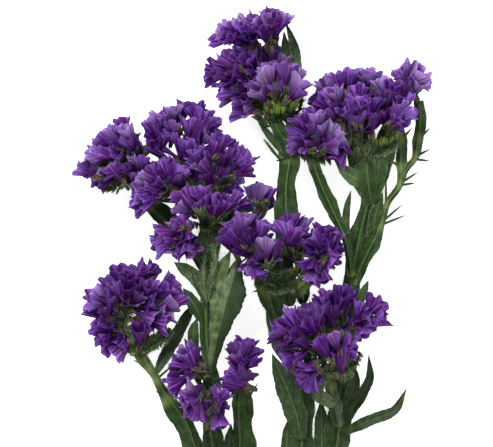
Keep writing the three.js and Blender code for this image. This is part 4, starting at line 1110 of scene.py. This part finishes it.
def needles(base: Array, tip: Array, radius: Array | float, sides: int = 3,
            bulge: float = 1.0) -> tuple[Array, Array]:
    """Straight tapering spikes of a few sides.

    Args:
        base: starts, (count, 3), in mm.
        tip: ends, (count, 3), in mm.
        radius: radius at the start, in mm.
        sides: corners around.
        bulge: radius at the middle over the radius at the start; 1 leaves the middle ring out.

    Returns:
        The grid and its chart.
    """
    around, places = ring(*across_frames(unit(tip - base)), sides)
    steps = np.array([0.0, 1.0] if bulge == 1.0 else [0.0, 0.35, 0.7, 1.0])
    widths = np.array([1.0, 0.12] if bulge == 1.0 else [0.7, bulge, 0.75 * bulge, 0.08])
    wide = widths[None, :, None, None] * np.reshape(radius, (-1, 1, 1, 1))
    centre = base[:, None] + (tip - base)[:, None] * steps[None, :, None]
    return centre[:, :, None] + around[:, None] * wide, chart_of(places, steps)


def tubes(stations: Array, radii: Array, sides: int = 6) -> tuple[Array, Array]:
    """Round tubes through stations.

    Args:
        stations: middles of the rings, (count, rings, 3), in mm.
        radii: their radii, (rings) or (count, rings), in mm.
        sides: corners around.

    Returns:
        The grid and its chart.
    """
    around, places = ring(*across_frames(unit(np.gradient(stations, axis=1))), sides)
    grid = stations[:, :, None] + around * np.broadcast_to(radii, stations.shape[:2])[:, :, None, None]
    return grid, chart_of(places, np.linspace(0, 1, stations.shape[1]))


@dataclass(frozen=True)
class Carrier:
    """What hairs grow on: starts and ends of short stretches, their radius in mm, and the hairs on each."""

    low: Array
    high: Array
    radius: float
    number: int


def fuzz(carriers: list[Carrier], draw: Draw, reach: tuple[float, float] = (0.5, 1.1),
         radius: float = 0.055) -> ShellMesh:
    """Fine white hairs: each starts at a random place of its carrier and points away, leaning to its end.

    Args:
        carriers: what they grow on.
        draw: the random draws.
        reach: shortest and longest reach, in mm.
        radius: radius of a hair at its foot, in mm.

    Returns:
        The mesh.
    """
    starts, ends = [], []
    for carrier in carriers:
        low, high = (np.repeat(part, carrier.number, 0) for part in (carrier.low, carrier.high))
        along = unit(high - low)
        place = low + (high - low) * draw.uniform(0.05, 0.95, (len(low), 1))
        out = unit(np.cross(along, draw.normal(0, 1, (len(low), 3))))
        starts.append(place + out * carrier.radius * 0.8)
        ends.append(place + out * (carrier.radius + draw.uniform(*reach, (len(low), 1)))
                    + along * draw.uniform(0.3, 1.2, (len(low), 1)))
    return ShellMesh().add(*needles(np.concatenate(starts), np.concatenate(ends), radius))


@dataclass
class WingedStem:
    """A stem with a ridged body and two thin waved wings.

    Attributes:
        plan: its layout.
        step: distance of the rings, in mm.
        blade: thickness of the wings, in mm.
        face: points across one face.
        crimp: how far the wing's edge waves in and out where its share is 1, in mm.
        ridge: share of a face's points that lie on the ridged body.
        sway: how far the slow wave lifts the wings' edges, in mm.
        ripple: how far the small waves lift them, in mm.
        groove: depth of the grooves along the ridge, as a share of its radius.
    """

    plan: StemPlan
    step: float = 1.3
    blade: float = 0.7
    face: int = 17
    crimp: float = 0.28
    ridge: float = 0.4
    sway: float = 1.1
    ripple: float = 0.35
    groove: float = 0.16

    def rings(self) -> tuple[Array, Array]:
        """Works out the blade: a body of a rounded ridge, and wings that swell and wave along the stem.

        The wings' width is their greatest reach times the plan's share at that place, times a slow wave that
        also lifts the edge. Small waves of three lengths crimp the edge.

        Returns:
            The grid of rings and its chart.
        """
        plan, path = self.plan, Path(PLAN.place(self.plan.line))
        share = path.shares(self.step, 8)
        run = share * path.length
        wave = np.sin(run * 0.22 + plan.line[0][0])
        spans = np.arange(len(plan.reach))
        swell = np.interp(path.parameter(share) * path.spans, spans, plan.reach) * (0.8 + 0.2 * wave)
        body = plan.radius[0] + (plan.radius[1] - plan.radius[0]) * share
        spread = np.linspace(-1, 1, self.face)
        share_in = np.clip(np.abs(spread) / self.ridge, 0, 1)
        share_out = np.clip((np.abs(spread) - self.ridge) / (1 - self.ridge), 0, 1)
        crimps = [np.sin(run * 0.5 + k + plan.line[0][0]) + 0.5 * np.sin(run * 1.1 + 2.1 * k)
                  + 0.2 * np.sin(run * 2.9 + 3.7 * k) for k in (0.0, 2.6)]
        reach = [wing * swell + self.crimp * crimp * swell for wing, crimp in zip(plan.wings, crimps)]
        across = np.sign(spread) * (body[:, None] * share_in + by_half(spread, *reach) * share_out)
        turn = np.where(spread < 0, 1.0, -1.0)
        ripple = by_half(spread, *(self.ripple * crimp for crimp in crimps))
        lift = share_out * (self.sway * wave[:, None] * turn + ripple * share_out)
        flat = self.blade / 2 * (1 - 0.55 * share_out)
        crown = (body[:, None] - self.blade / 2) * np.cos(math.pi / 2 * share_in) ** 0.8
        groove = self.groove * body[:, None] * np.cos(3 * math.pi * share_in) * (share_in < 1)
        half = flat + np.maximum(crown - groove * (1 - share_in), 0)
        return blade_rings(path.frames(share), across, lift, half), blade_chart(run, (spread + 1) / 2)

    def joints(self, grid: Array) -> Array:
        """Tones of the rings: 0.5, and up to 1 near the stem's root and the feet of its small leaves.

        A ring's tone is 0.5 + 0.5 e^-(d / 3 mm)^2, d being the distance to the nearest of them.

        Args:
            grid: the rings.

        Returns:
            A tone a ring.
        """
        feet = PLAN.place([self.plan.line[0]] + [foot for foot, _ in self.plan.scales])
        gaps = np.linalg.norm(grid[0].mean(1)[:, None] - feet[None], axis=-1).min(1)
        return (0.5 + 0.5 * np.exp(-(gaps / 3.0) ** 2))[None, :, None]

    def down(self, grid: Array, draw: Draw) -> ShellMesh:
        """Fine white hairs along the ridge and both wings' edges.

        Args:
            grid: the rings.
            draw: the random draws.

        Returns:
            The mesh.
        """
        lines = [grid[0, :, place] for place in (0, self.face // 2, self.face - 1)]
        return fuzz([Carrier(*stretches(line), 0.15, 2) for line in lines], draw, (0.3, 0.9), 0.05)

    def build(self, finishes: Finishes, draw: Draw) -> None:
        """Makes the stem with its small leaves as one piece, and its down as another.

        Args:
            finishes: the materials.
            draw: the random draws.
        """
        grid, chart = self.rings()
        shell = ShellMesh().add(grid, chart, self.joints(grid), wraps=False)
        for foot, tip in self.plan.scales:
            ScaleLeaf(foot, tip).add_to(shell)
        dress(shell.build(self.plan.name + "_skin"), finishes.stem, Slot.STEM.value, self.plan.name)
        dress(self.down(grid, draw).build("down_" + self.plan.name), finishes.hair, Slot.STEM.value)


@dataclass
class ScaleLeaf:
    """A small pointed leaf on a stem: narrow, keeled and bent back at its tip.

    Attributes:
        foot, tip: its ends, as plan points.
        half: half its width, in mm.
        bend: how far its middle bows away from a straight line, in mm.
    """

    foot: tuple[float, ...]
    tip: tuple[float, ...]
    half: float = 0.6
    bend: float = 1.2

    def add_to(self, shell: ShellMesh) -> None:
        """Adds the leaf: its half width is half (1 - share^1.7) (0.8 + 0.6 share), and its edges bend up.

        Args:
            shell: the mesh that it becomes part of.
        """
        ends = PLAN.place((self.foot, self.tip))
        middle = ends.mean(0) + np.array([0, 0, -self.bend])
        path = Path(np.stack([ends[0], middle, ends[1]]))
        share = np.linspace(0, 1, 9)
        spread = np.linspace(-1, 1, 5)
        width = self.half * (1 - share ** 1.7) * (0.8 + 0.6 * share) + 0.06
        across = width[:, None] * spread
        lift = 0.35 * np.abs(across)
        half = (0.2 + 0.25 * (1 - np.abs(spread))) * np.minimum(1, width / 0.4)[:, None]
        grid = blade_rings(path.frames(share), across, lift, half)
        shell.add(grid, blade_chart(share * path.length, (spread + 1) / 2), wraps=False)


@dataclass
class Leaf:
    """A lance-shaped leaf, folded along its midrib.

    Attributes:
        plan: its layout.
        step: distance of the rings, in mm.
        blade: thickness, in mm.
        face: points across one face.
    """

    plan: LeafPlan
    step: float = 1.0
    blade: float = 0.6
    face: int = 13

    def add_to(self, shell: ShellMesh) -> None:
        """Adds the leaf: half width = half * (0.24 + 0.76 sin(pi share^skew)^0.8), pointed at the tip.

        The edges rise by the fold and wave a little; the midrib stands out below.

        Args:
            shell: the mesh that it becomes part of.
        """
        plan, path = self.plan, Path(PLAN.place(self.plan.line))
        share = path.shares(self.step, 10)
        run = share * path.length
        shape = 0.24 + 0.76 * np.sin(math.pi * share ** plan.skew) ** 0.8
        shape = np.minimum(shape, 0.03 + 3.2 * (1 - share))
        spread = np.linspace(-1, 1, self.face)
        start = plan.line[0][0]
        waves = by_half(spread, np.sin(run * 0.55 + start), np.sin(run * 0.62 + 2 * start))
        teeth = by_half(spread, np.sin(run * 1.9 + start), np.sin(run * 2.2 + start))
        edge = np.abs(spread) ** 3
        across = (plan.half * shape)[:, None] * spread * (1 + 0.05 * edge * (waves + 0.6 * teeth))
        lift = shape[:, None] * (plan.fold * np.abs(spread) ** 1.2 + 0.45 * edge * waves)
        keel = np.exp(-(spread / 0.12) ** 2)
        lift = lift - 0.12 * keel
        half = self.blade / 2 * (1 - 0.6 * edge + 0.5 * keel) * np.minimum(1, shape * 4)[:, None]
        grid = blade_rings(path.frames(share), across, lift, half)
        shell.add(grid, blade_chart(run, (spread + 1) / 2), wraps=False)

    def build(self, name: str, finishes: Finishes) -> None:
        """Makes the leaf as a piece of its own.

        Args:
            name: the leaf's node.
            finishes: the materials.
        """
        shell = ShellMesh()
        self.add_to(shell)
        material, slot = finishes.leaf, Slot.LEAF
        if self.plan.pale:
            material, slot = finishes.leaf_pale, Slot.LEAF_PALE
        if self.plan.folded:
            material = finishes.leaf_half_shaded
        dress(shell.build(name + "_blade"), material, slot.value, name)


# ---------------------------------------------------------------------------------------------------------
# Flower heads
# ---------------------------------------------------------------------------------------------------------
class Bloom(Enum):
    """How far a calyx is open: shares of its mouth and length, of its brightness, and of all calyces."""

    OPEN = (1.0, 1.0, 1.0, 0.84)
    HALF_OPEN = (0.55, 0.95, 0.7, 0.11)
    BUD = (0.26, 0.8, 0.3, 0.05)


@dataclass
class Crown:
    """The calyces of one head, one entry each: where they start, where they open, and their shape.

    Attributes:
        roots: where its stalk leaves the axis, in mm.
        headings: where it points.
        mouths: middle of its mouth, in mm.
        radii: radius of its mouth, in mm.
        lengths: length of its papery limb, in mm.
        tones: painted light and shade by row and head, with a random part and darker buds, 0 darkest to 1
            brightest.
        tube: length of the tube under a limb, in mm.
    """

    roots: Array
    headings: Array
    mouths: Array
    radii: Array
    lengths: Array
    tones: Array
    tube: float = 4.6

    @property
    def throats(self) -> Array:
        """Where the tubes end and the limbs begin."""
        return self.mouths - self.headings * self.lengths[:, None]

    @property
    def bases(self) -> Array:
        """Where the stalks end and the tubes begin."""
        return self.throats - self.headings * self.tube


@dataclass(frozen=True)
class LimbShape:
    """The papery limb of a calyx: a pleated funnel with five rounded lobes and a torn, waved rim.

    Attributes:
        lobes: lobes around.
        shares: points around each lobe.
        throat: radius where it leaves the tube, in mm.
        wall: thickness, in mm.
        pleat: depth of the notches between the lobes, as a share of the radius.
        fold: depth of the crisp folds, as a share of the radius.
        ruffle: wave of the rim along the axis, in mm.
        frill: how far the lobes stand out along the axis, in mm.
        tear: unevenness of the rim, in mm.
        usual: radius of a mouth whose rim waves that much, in mm.
    """

    lobes: int = 5
    shares: int = 4
    throat: float = 0.65
    wall: float = 0.16
    pleat: float = 0.13
    fold: float = 0.035
    ruffle: float = 0.35
    frill: float = 0.5
    tear: float = 0.2
    usual: float = 4.3

    def grid(self, crown: Crown, draw: Draw) -> tuple[Array, Array, Array]:
        """Works out all limbs of a crown at once.

        The radius is throat + (mouth - throat) t^1.15 times lobes and a crisp zigzag. Here t is 0 at the
        throat and 1 at the rim, and the rim is waved and torn along the axis. A lobe is
        1 - 2 ((1 - c) / 2)^2.2, c being the cosine of five turns, which is flat at the top and sharp in the
        notch. The outer wall goes up to the rim and the inner wall back down, half a wall's thickness to
        either side.

        Args:
            crown: the calyces.
            draw: the random draws.

        Returns:
            The grid, its chart and the tones.
        """
        count, columns = len(crown.radii), self.lobes * self.shares
        step = np.array([0.0, 0.48, 1.0, 0.52, 0.06])[None, :, None]
        face = np.array([1.0, 1.0, 0.0, -1.0, -1.0])[None, :, None]
        even = math.tau * np.arange(columns) / columns
        turn = even[None, None, :] + draw.uniform(0, math.tau, (count, 1, 1))
        phase = draw.uniform(0, math.tau, (2, count, 1, 1))
        rough, torn = draw.normal(0, 1, (2, count, 1, columns))
        radius = crown.radii[:, None, None]
        lobe = 1 - 2 * ((1 - np.cos(self.lobes * even)) / 2) ** 2.2
        teeth = -np.cos(math.pi * np.arange(columns))
        pleats = self.pleat * lobe + self.fold * teeth + 0.02 * rough
        wide = self.throat + (radius - self.throat) * step ** 1.15 * (1 + pleats) + face * self.wall / 2
        waves = np.cos(3 * turn + phase[0]) + 1.6 * np.cos(2 * turn + phase[1])
        uneven = self.ruffle * waves + self.tear * torn + self.frill * lobe
        rim = step ** 3 * (radius / self.usual) * uneven
        high = crown.lengths[:, None, None] * (step - 1) + rim - face * self.wall / 3
        squash = draw.uniform(0.4, 0.8, (count, 1, 1))
        heading = crown.headings
        first, second = across_frames(heading)
        lean = draw.normal(0, 0.5, (count, 1)) + math.pi / 2
        first, second = (first * np.cos(lean) + second * np.sin(lean),
                         second * np.cos(lean) - first * np.sin(lean))
        droop = draw.normal(0, 0.5, (count, 1, 1)) * step ** 2
        grid = (crown.mouths[:, None, None] + heading[:, None, None] * high[..., None]
                + first[:, None, None] * (wide * squash * np.cos(turn) + droop)[..., None]
                + second[:, None, None] * (wide * np.sin(turn))[..., None])
        chart = np.stack(np.broadcast_arrays(even / math.tau, step), -1)
        return grid, chart, crown.tones[:, None, None]


@dataclass(frozen=True)
class Tier:
    """An inner tier of calyces: its reach towards the crest, its lift in mm and its lean in radians."""

    reach: float
    lift: float
    lean: float


@dataclass
class Spike:
    """One spike of a head: an axis that carries rows and tiers of calyces on one side.

    Attributes:
        head: the head's layout.
        plan: the spike's layout.
        pitch: spacing of the mouths along a row, in mm.
        row_pitch: spacing of the rows, in mm.
        inset: how far the mouths stand back from the crest, in mm.
        tiers: the inner tiers, the outermost first.
    """

    head: HeadPlan
    plan: SpikePlan
    pitch: float = 5.5
    row_pitch: float = 5.0
    inset: float = 1.1
    tiers: tuple[Tier, ...] = (Tier(0.78, 3.0, 0.3), Tier(0.54, 5.6, 0.55),
                               Tier(0.32, 7.6, 0.8), Tier(0.1, 8.8, 1.1))
    axis: Path = field(init=False)
    crest: Path = field(init=False)

    def __post_init__(self) -> None:
        """Lays out the axis and the crest."""
        low, high = self.plan.heights
        start = [self.head.hub] + ([self.plan.via] if self.plan.via else [])
        self.axis = Path(np.vstack([PLAN.place(start), PLAN.level(self.plan.roots, low)]))
        self.crest = Path(PLAN.level(self.plan.tips, high))

    @property
    def shown_tiers(self) -> tuple[Tier, ...]:
        """Its tiers: two on a bare spike, and on others more by the rows and tiers of its plan."""
        return self.tiers[:2 if self.plan.bare else max(self.plan.tiers + 2, self.plan.rows + 1)]

    @property
    def facing(self) -> float:
        """Which way the inner tiers stand out: 1 up, -1 down."""
        return 1.0 if self.plan.heights[1] >= self.plan.heights[0] else -1.0

    def foot(self, share: Array) -> Array:
        """Points of the axis at shares of the stretch that carries calyces."""
        carrying = len(self.plan.roots) - 1
        return self.axis.at((self.axis.spans - carrying + share * carrying) / self.axis.spans)

    def places(self, draw: Draw) -> tuple[Array, Array, Array, Array]:
        """Places for calyces: rows across the crest first, then tiers that stand nearer and further out.

        A tier's mouths lie at its reach on the way from the axis to the crest, lifted out of that plane.
        Every calyx points away from the axis and leans out of the plane by its row's or tier's angle.

        Args:
            draw: the random draws.

        Returns:
            Points of the axis, headings and mouths, in mm, and their painted light: bright on the crest and
            in painted shade on the inner tiers.
        """
        rows = np.arange(self.plan.rows) - (self.plan.rows - 1) / 2
        lines = [(1.0, row * self.row_pitch, 0.3 * row) for row in rows]
        side, top = self.facing, rows[-1] * self.row_pitch
        lines += [(tier.reach, side * (tier.lift + top), side * tier.lean) for tier in self.shown_tiers]
        roots, headings, mouths, lights = [], [], [], []
        inmost = np.linalg.norm(np.diff(self.foot(np.linspace(0, 1, 9)), axis=0), axis=1).sum()
        for number, (reach, lift, lean) in enumerate(lines):
            count = max(2, round((inmost + (self.crest.length - inmost) * reach) / self.pitch))
            share = (np.arange(count) + 0.25 + 0.5 * (number % 2) + draw.uniform(-0.2, 0.2, count)) / count
            root, crest = self.foot(share), self.crest.along(share)
            mouth = root + (crest - root) * reach * draw.uniform(0.94, 1.03, (count, 1))
            mouth = mouth + draw.uniform(-0.8, 0.8, (count, 3))
            mouth[:, 2] += lift
            out = unit((crest - root) * (1, 1, 0))
            angle = (lean + draw.normal(0, 0.16, count))[:, None]
            spin = draw.normal(0, 0.17, (count, 1)) * np.cross(UP, out)
            heading = unit((out + spin) * np.cos(angle) + UP * np.sin(angle))
            roots.append(root)
            headings.append(heading)
            mouths.append(mouth - heading * self.inset)
            # Painted light and shade: calyces on the crest are painted bright, and those of the inner tiers
            # darker.
            lights.append(np.full(count, 0.3 + 0.5 * reach))
        return tuple(np.concatenate(parts) for parts in (roots, headings, mouths, lights))


@dataclass
class FlowerHead:
    """A flower head: its hub and axes, its bracts, tubes, papery limbs and white hairs.

    Attributes:
        plan: its layout.
        order: its place in the list, which starts its random draws.
        spacing: two mouths are never nearer than this, in mm.
        mouth: usual radius of a mouth, in mm.
        limb: usual length of a limb, in mm.
        loose_mouth, loose_spacing: what a loose head's mouths and spacing are multiplied by.
        spread: how much the brightness of the calyces differs.
    """

    plan: HeadPlan
    order: int
    spacing: float = 4.3
    mouth: float = 5.2
    limb: float = 9.2
    loose_mouth: float = 0.76
    loose_spacing: float = 1.05
    spread: float = 0.2
    spikes: list[Spike] = field(init=False)
    draw: Draw = field(init=False)

    def __post_init__(self) -> None:
        """Lays out the spikes and starts the draws."""
        self.spikes = [Spike(self.plan, spike) for spike in self.plan.spikes]
        self.draw = np.random.default_rng(SEED + self.order)
        if self.plan.loose:
            self.mouth *= self.loose_mouth
            self.spacing *= self.loose_spacing

    def crown(self) -> Crown:
        """Picks the calyces: of all places, those that keep their distance from the ones picked before.

        Returns:
            The crown.
        """
        places = [spike.places(self.draw) for spike in self.spikes]
        roots, headings, mouths, lights = (np.concatenate(parts) for parts in zip(*places))
        kept: list[int] = []
        for item, mouth in enumerate(mouths):
            near = np.linalg.norm(mouths[kept] - mouth, axis=1) if kept else np.array([np.inf])
            if near.min() > self.spacing:
                kept.append(item)
        count = len(kept)
        widths, heights, brightness, odds = np.array([kind.value for kind in Bloom]).T
        bloom = self.draw.choice(len(odds), count, p=odds)
        radii = self.mouth * self.draw.uniform(0.84, 1.12, count) * widths[bloom]
        lengths = self.limb * self.draw.uniform(0.88, 1.1, count) * heights[bloom]
        # A calyx's tone adds its row's painted light, its head's painted light or shade, and a random part.
        shades = lights[kept] + self.plan.light + self.draw.normal(0, self.spread, count)
        tones = np.clip(shades, 0, 1) * brightness[bloom]
        return Crown(roots[kept], headings[kept], mouths[kept], radii, lengths, tones)

    def build(self, finishes: Finishes) -> None:
        """Makes the pieces of the head.

        Args:
            finishes: the materials.
        """
        crown = self.crown()
        name = self.plan.name.removeprefix("head_")
        limbs = ShellMesh(sharp=24.0).add(*LimbShape().grid(crown, self.draw))
        stalks = self.stalks(crown)
        bracts, bract_ends = self.bracts(crown)
        hairs = self.hairs(crown, bract_ends)
        dress(limbs.build("calyces_" + name), finishes.petal, Slot.CALYX.value, self.plan.name)
        green = (("stalks_", stalks, finishes.tube), ("axes_", self.axes(), finishes.axis),
                 ("bracts_", bracts, finishes.bract), ("hairs_", hairs, finishes.hair))
        for label, mesh, material in green:
            dress(mesh.build(label + name), material, Slot.STEM.value)

    def stalks(self, crown: Crown) -> ShellMesh:
        """The stalk and tube under each limb: thin at the foot, widest at the base of the tube.

        Args:
            crown: the calyces.

        Returns:
            The mesh.
        """
        heading, base = crown.headings, crown.bases
        elbow = 0.5 * (crown.roots + base) - heading * 1.2
        stations = np.stack([crown.roots, elbow, base - heading * 0.4, base + heading * 0.9,
                             crown.throats + heading * 0.5], 1)
        radii = np.array([0.5, 0.45, 0.42, 0.78, 0.68])
        # Each stalk takes its calyx's tone, with the painted light and shade in it.
        return ShellMesh().add(*tubes(stations, radii), crown.tones[:, None, None])

    def axes(self) -> ShellMesh:
        """The hub and the axes of the spikes, as ridged tubes.

        Returns:
            The mesh.
        """
        shell = ShellMesh()
        runs = [(Path(PLAN.place((self.plan.foot, self.plan.hub))), 1.5, 1.5)]
        runs += [(spike.axis, 1.4, 0.9) for spike in self.spikes]
        for path, thick, thin in runs:
            share = path.shares(2, 4)
            radii = thick + (thin - thick) * share
            radii[-1] *= 0.5
            shell.add(*tubes(path.along(share)[None], radii[None], sides=8))
        return shell

    def bracts(self, crown: Crown) -> tuple[ShellMesh, tuple[Array, Array]]:
        """Pointed green bracts: three round the base of each tube, and swollen ones along the axes.

        Args:
            crown: the calyces.

        Returns:
            The mesh, and the bases and tips of all bracts.
        """
        heading = crown.headings
        base = crown.bases - heading * 0.6
        first, second = across_frames(heading)
        bases, tips, widths = [], [], []
        for number in range(3):
            turn = (math.tau * number / 3 + self.draw.uniform(-0.4, 0.4, len(base)))[:, None]
            out = first * np.cos(turn) + second * np.sin(turn)
            long = self.draw.uniform(4.2, 6.2, (len(base), 1))
            bases.append(base + out * 0.55)
            tips.append(base + out * self.draw.uniform(0.9, 2.0, (len(base), 1)) + heading * long)
            widths.append(np.full(len(base), 0.42))
        for spike in self.spikes:
            count = max(4, round(spike.axis.length / 2.1))
            share = (np.arange(count) + 0.5) / count
            foot = spike.foot(share)
            out = unit(spike.crest.along(share) - foot)
            for tilt in (-0.8, 0.0, 0.8):
                aim = unit(out + UP * tilt + self.draw.normal(0, 0.16, (count, 3)))
                bases.append(foot + aim * 0.7)
                tips.append(foot + aim * self.draw.uniform(3.6, 5.0, (count, 1)))
                widths.append(np.full(count, 0.6))
        bases, tips, widths = np.concatenate(bases), np.concatenate(tips), np.concatenate(widths)
        tones = self.draw.uniform(0, 1, (len(bases), 1, 1))
        return ShellMesh().add(*needles(bases, tips, widths, sides=6, bulge=1.25), tones), (bases, tips)

    def hairs(self, crown: Crown, bract_ends: tuple[Array, Array]) -> ShellMesh:
        """Fine white hairs on the tubes, the bracts and the axes.

        Args:
            crown: the calyces.
            bract_ends: bases and tips of the bracts.

        Returns:
            The mesh.
        """
        carriers = [Carrier(crown.bases, crown.throats, 0.6, 5), Carrier(*bract_ends, 0.7, 4)]
        for spike in self.spikes:
            line = spike.axis.along(np.linspace(0, 1, max(6, round(spike.axis.length / 1.5))))
            carriers.append(Carrier(*stretches(line), 1.1, 5))
        return fuzz(carriers, self.draw)


@dataclass
class Tuft:
    """The green growth under a head: winged blades, beds of bracts and their white hairs.

    Attributes:
        plan: its layout.
        order: its place in the list, which starts its random draws.
        pitch: spacing of the bracts along a bed, in bract radii.
        row_step: distance of two rows of a bed, in mm.
    """

    plan: TuftPlan
    order: int
    pitch: float = 1.75
    row_step: float = 1.7
    draw: Draw = field(init=False)

    def __post_init__(self) -> None:
        """Starts the draws."""
        self.draw = np.random.default_rng(TUFT_SEED + self.order)

    def bed(self, plan: BedPlan, shell: ShellMesh) -> Carrier:
        """Adds a bed: spindles side by side along its line, in rows one behind the other.

        A bract stands at line + row * (step back along the aim and down), and points along the aim, spread a
        little to both sides.

        Args:
            plan: the bed's layout.
            shell: the mesh that it becomes part of.

        Returns:
            The bracts, as carriers of hairs.
        """
        path = Path(PLAN.place(plan.line))
        aim = unit(np.array([plan.aim[0], -plan.aim[1], plan.aim[2]]))
        bases, tips = [], []
        for row in range(plan.rows):
            count = max(3, round(path.length / (plan.wide * self.pitch)))
            share = (np.arange(count) + 0.3 + 0.4 * (row % 2)) / count
            back = -aim * (self.row_step, self.row_step, 0.4 * self.row_step) - 0.4 * UP
            base = path.along(share) + back * row + self.draw.normal(0, 0.18, (count, 3))
            lean = 0.35 * (share - 0.5)[:, None] * path.frames(share)[1]
            point = unit(aim + lean + self.draw.normal(0, 0.1, (count, 3)))
            bases.append(base)
            tips.append(base + point * plan.long * self.draw.uniform(0.8, 1.1, (count, 1)))
        bases, tips = np.concatenate(bases), np.concatenate(tips)
        tones = self.draw.uniform(0.2, 1, (len(bases), 1, 1))
        shell.add(*needles(bases, tips, plan.wide, sides=6, bulge=1.15), tones)
        return Carrier(bases, tips, plan.wide, 7)

    def edges(self, plan: LeafPlan) -> Carrier:
        """The two edges of a blade, as carriers of hairs."""
        path = Path(PLAN.place(plan.line))
        share = np.linspace(0.08, 0.92, max(8, round(path.length / 1.2)))
        centre, _, side, _ = path.frames(share)
        rims = [centre + side * plan.half * turn * 0.85 for turn in (-1, 1)]
        starts, ends = (np.concatenate(parts) for parts in zip(*map(stretches, rims)))
        return Carrier(starts, ends, 0.3, 5)

    def build(self, finishes: Finishes) -> None:
        """Makes the pieces of the tuft.

        Args:
            finishes: the materials.
        """
        carriers = []
        groups = ((False, "bracts_under_", finishes.bract), (True, "comb_", finishes.comb))
        for pale, label, material in groups:
            shell = ShellMesh()
            carriers += [self.bed(bed, shell) for bed in self.plan.beds if bed.pale == pale]
            if shell.count:
                dress(shell.build(label + self.plan.name), material, Slot.STEM.value)
        looks = ((False, "wings_", finishes.stem, Slot.STEM),
                 (True, "scales_", finishes.leaf_pale, Slot.LEAF_PALE))
        for pale, label, material, slot in looks:
            shell = ShellMesh()
            for blade in self.plan.blades:
                if blade.pale == pale:
                    Leaf(blade).add_to(shell)
                    carriers.append(self.edges(blade))
            if shell.count:
                dress(shell.build(label + self.plan.name), material, slot.value)
        fine = fuzz(carriers, self.draw, (0.6, 1.5), 0.07)
        dress(fine.build("fuzz_" + self.plan.name), finishes.hair, Slot.STEM.value)


# ---------------------------------------------------------------------------------------------------------
# Studio
# ---------------------------------------------------------------------------------------------------------
@dataclass
class Studio:
    """A pale floor, soft lights and a camera that looks straight down.

    Attributes:
        picture: width and height of the picture, in plan squares.
        distance: height of the camera above the surface, in m.
        middle: height of the spray's middle, in m.
        sensor: width of the camera's sensor, in mm.
        floor_glow: light that the floor, a light table, gives by itself.
        floor_reach: half the floor's side, in m.
        sky: strength of the sky.
    """

    picture: tuple[int, int] = (493, 447)
    distance: float = 3.0
    middle: float = 0.028
    sensor: float = 36.0
    floor_glow: float = 0.75
    floor_reach: float = 4.0
    sky: float = 0.45

    def camera(self) -> None:
        """Places the camera over the middle of the picture, with the lens that takes in its width."""
        columns, rows = self.picture
        x, y, _ = PLAN.place(((columns / 2, rows / 2, 0.0),))[0] * MM
        lens = bpy.data.cameras.new("camera")
        lens.sensor_width = self.sensor
        lens.lens = self.sensor * (self.distance - self.middle) / (columns * PLAN.unit * MM)
        lens.clip_end = 20.0
        camera = new_object("camera", lens)
        camera.location = (x, y, self.distance)
        bpy.context.scene.camera = camera

    def floor(self) -> None:
        """A pale floor at the height that the spray lies on."""
        reach = self.floor_reach
        mesh = bpy.data.meshes.new("floor")
        corners = [(-reach, -reach, 0), (reach, -reach, 0), (reach, reach, 0), (-reach, reach, 0)]
        mesh.from_pydata(corners, [], [(0, 1, 2, 3)])
        floor = new_object("floor", mesh)
        tree = Tree("pale_floor")
        speckle = tree.noise(tree.objectwise(), 60.0)
        colour = tree.ramp(speckle, (0.3, grey(0.93)), (0.7, grey(0.96)))
        mesh.materials.append(tree.finish(colour, tree.bump(speckle, 0.02, 0.0005), rough=0.9))
        skin = next(node for node in tree.nodes if node.type == "BSDF_PRINCIPLED")
        skin.inputs["Emission Color"].default_value = (1, 1, 1, 1)
        skin.inputs["Emission Strength"].default_value = self.floor_glow

    def lights(self) -> None:
        """An even white sky and two large soft lamps."""
        world = bpy.data.worlds.new("sky")
        world.use_nodes = True
        background = world.node_tree.nodes["Background"]
        background.inputs[0].default_value = (1, 1, 1, 1)
        background.inputs[1].default_value = self.sky
        bpy.context.scene.world = world
        lamps = (("key", (-0.5, 1.0, 1.5), 0.7, 38.0), ("fill", (0.9, 0.1, 1.4), 0.9, 6.0))
        for name, place, size, power in lamps:
            lamp = bpy.data.lights.new(name, "AREA")
            lamp.size, lamp.energy = size, power
            light = new_object(name, lamp)
            light.location = place
            aim = np.array(place) - np.array([0, 0.06, 0.02])
            light.rotation_mode = "QUATERNION"
            light.rotation_quaternion = Vector(aim).to_track_quat("Z", "Y")

    def build(self) -> None:
        """Sets the whole studio up, with colours shown as they are."""
        self.camera()
        self.floor()
        self.lights()
        bpy.context.scene.view_settings.view_transform = "Standard"


def main() -> None:
    """Builds the studio, the stems, the leaves, the heads and the tufts in order."""
    logging.basicConfig(level=logging.INFO, format="%(message)s")
    Studio().build()
    finishes = Finishes()
    draw = np.random.default_rng(DOWN_SEED)
    for plan in STEM_PLANS:
        WingedStem(plan).build(finishes, draw)
    for name, plan in LEAF_PLANS.items():
        Leaf(plan).build(name, finishes)
    for order, plan in enumerate(HEAD_PLANS):
        FlowerHead(plan, order).build(finishes)
    for order, plan in enumerate(TUFT_PLANS):
        Tuft(plan, order).build(finishes)


if __name__ == "__main__":
    main()
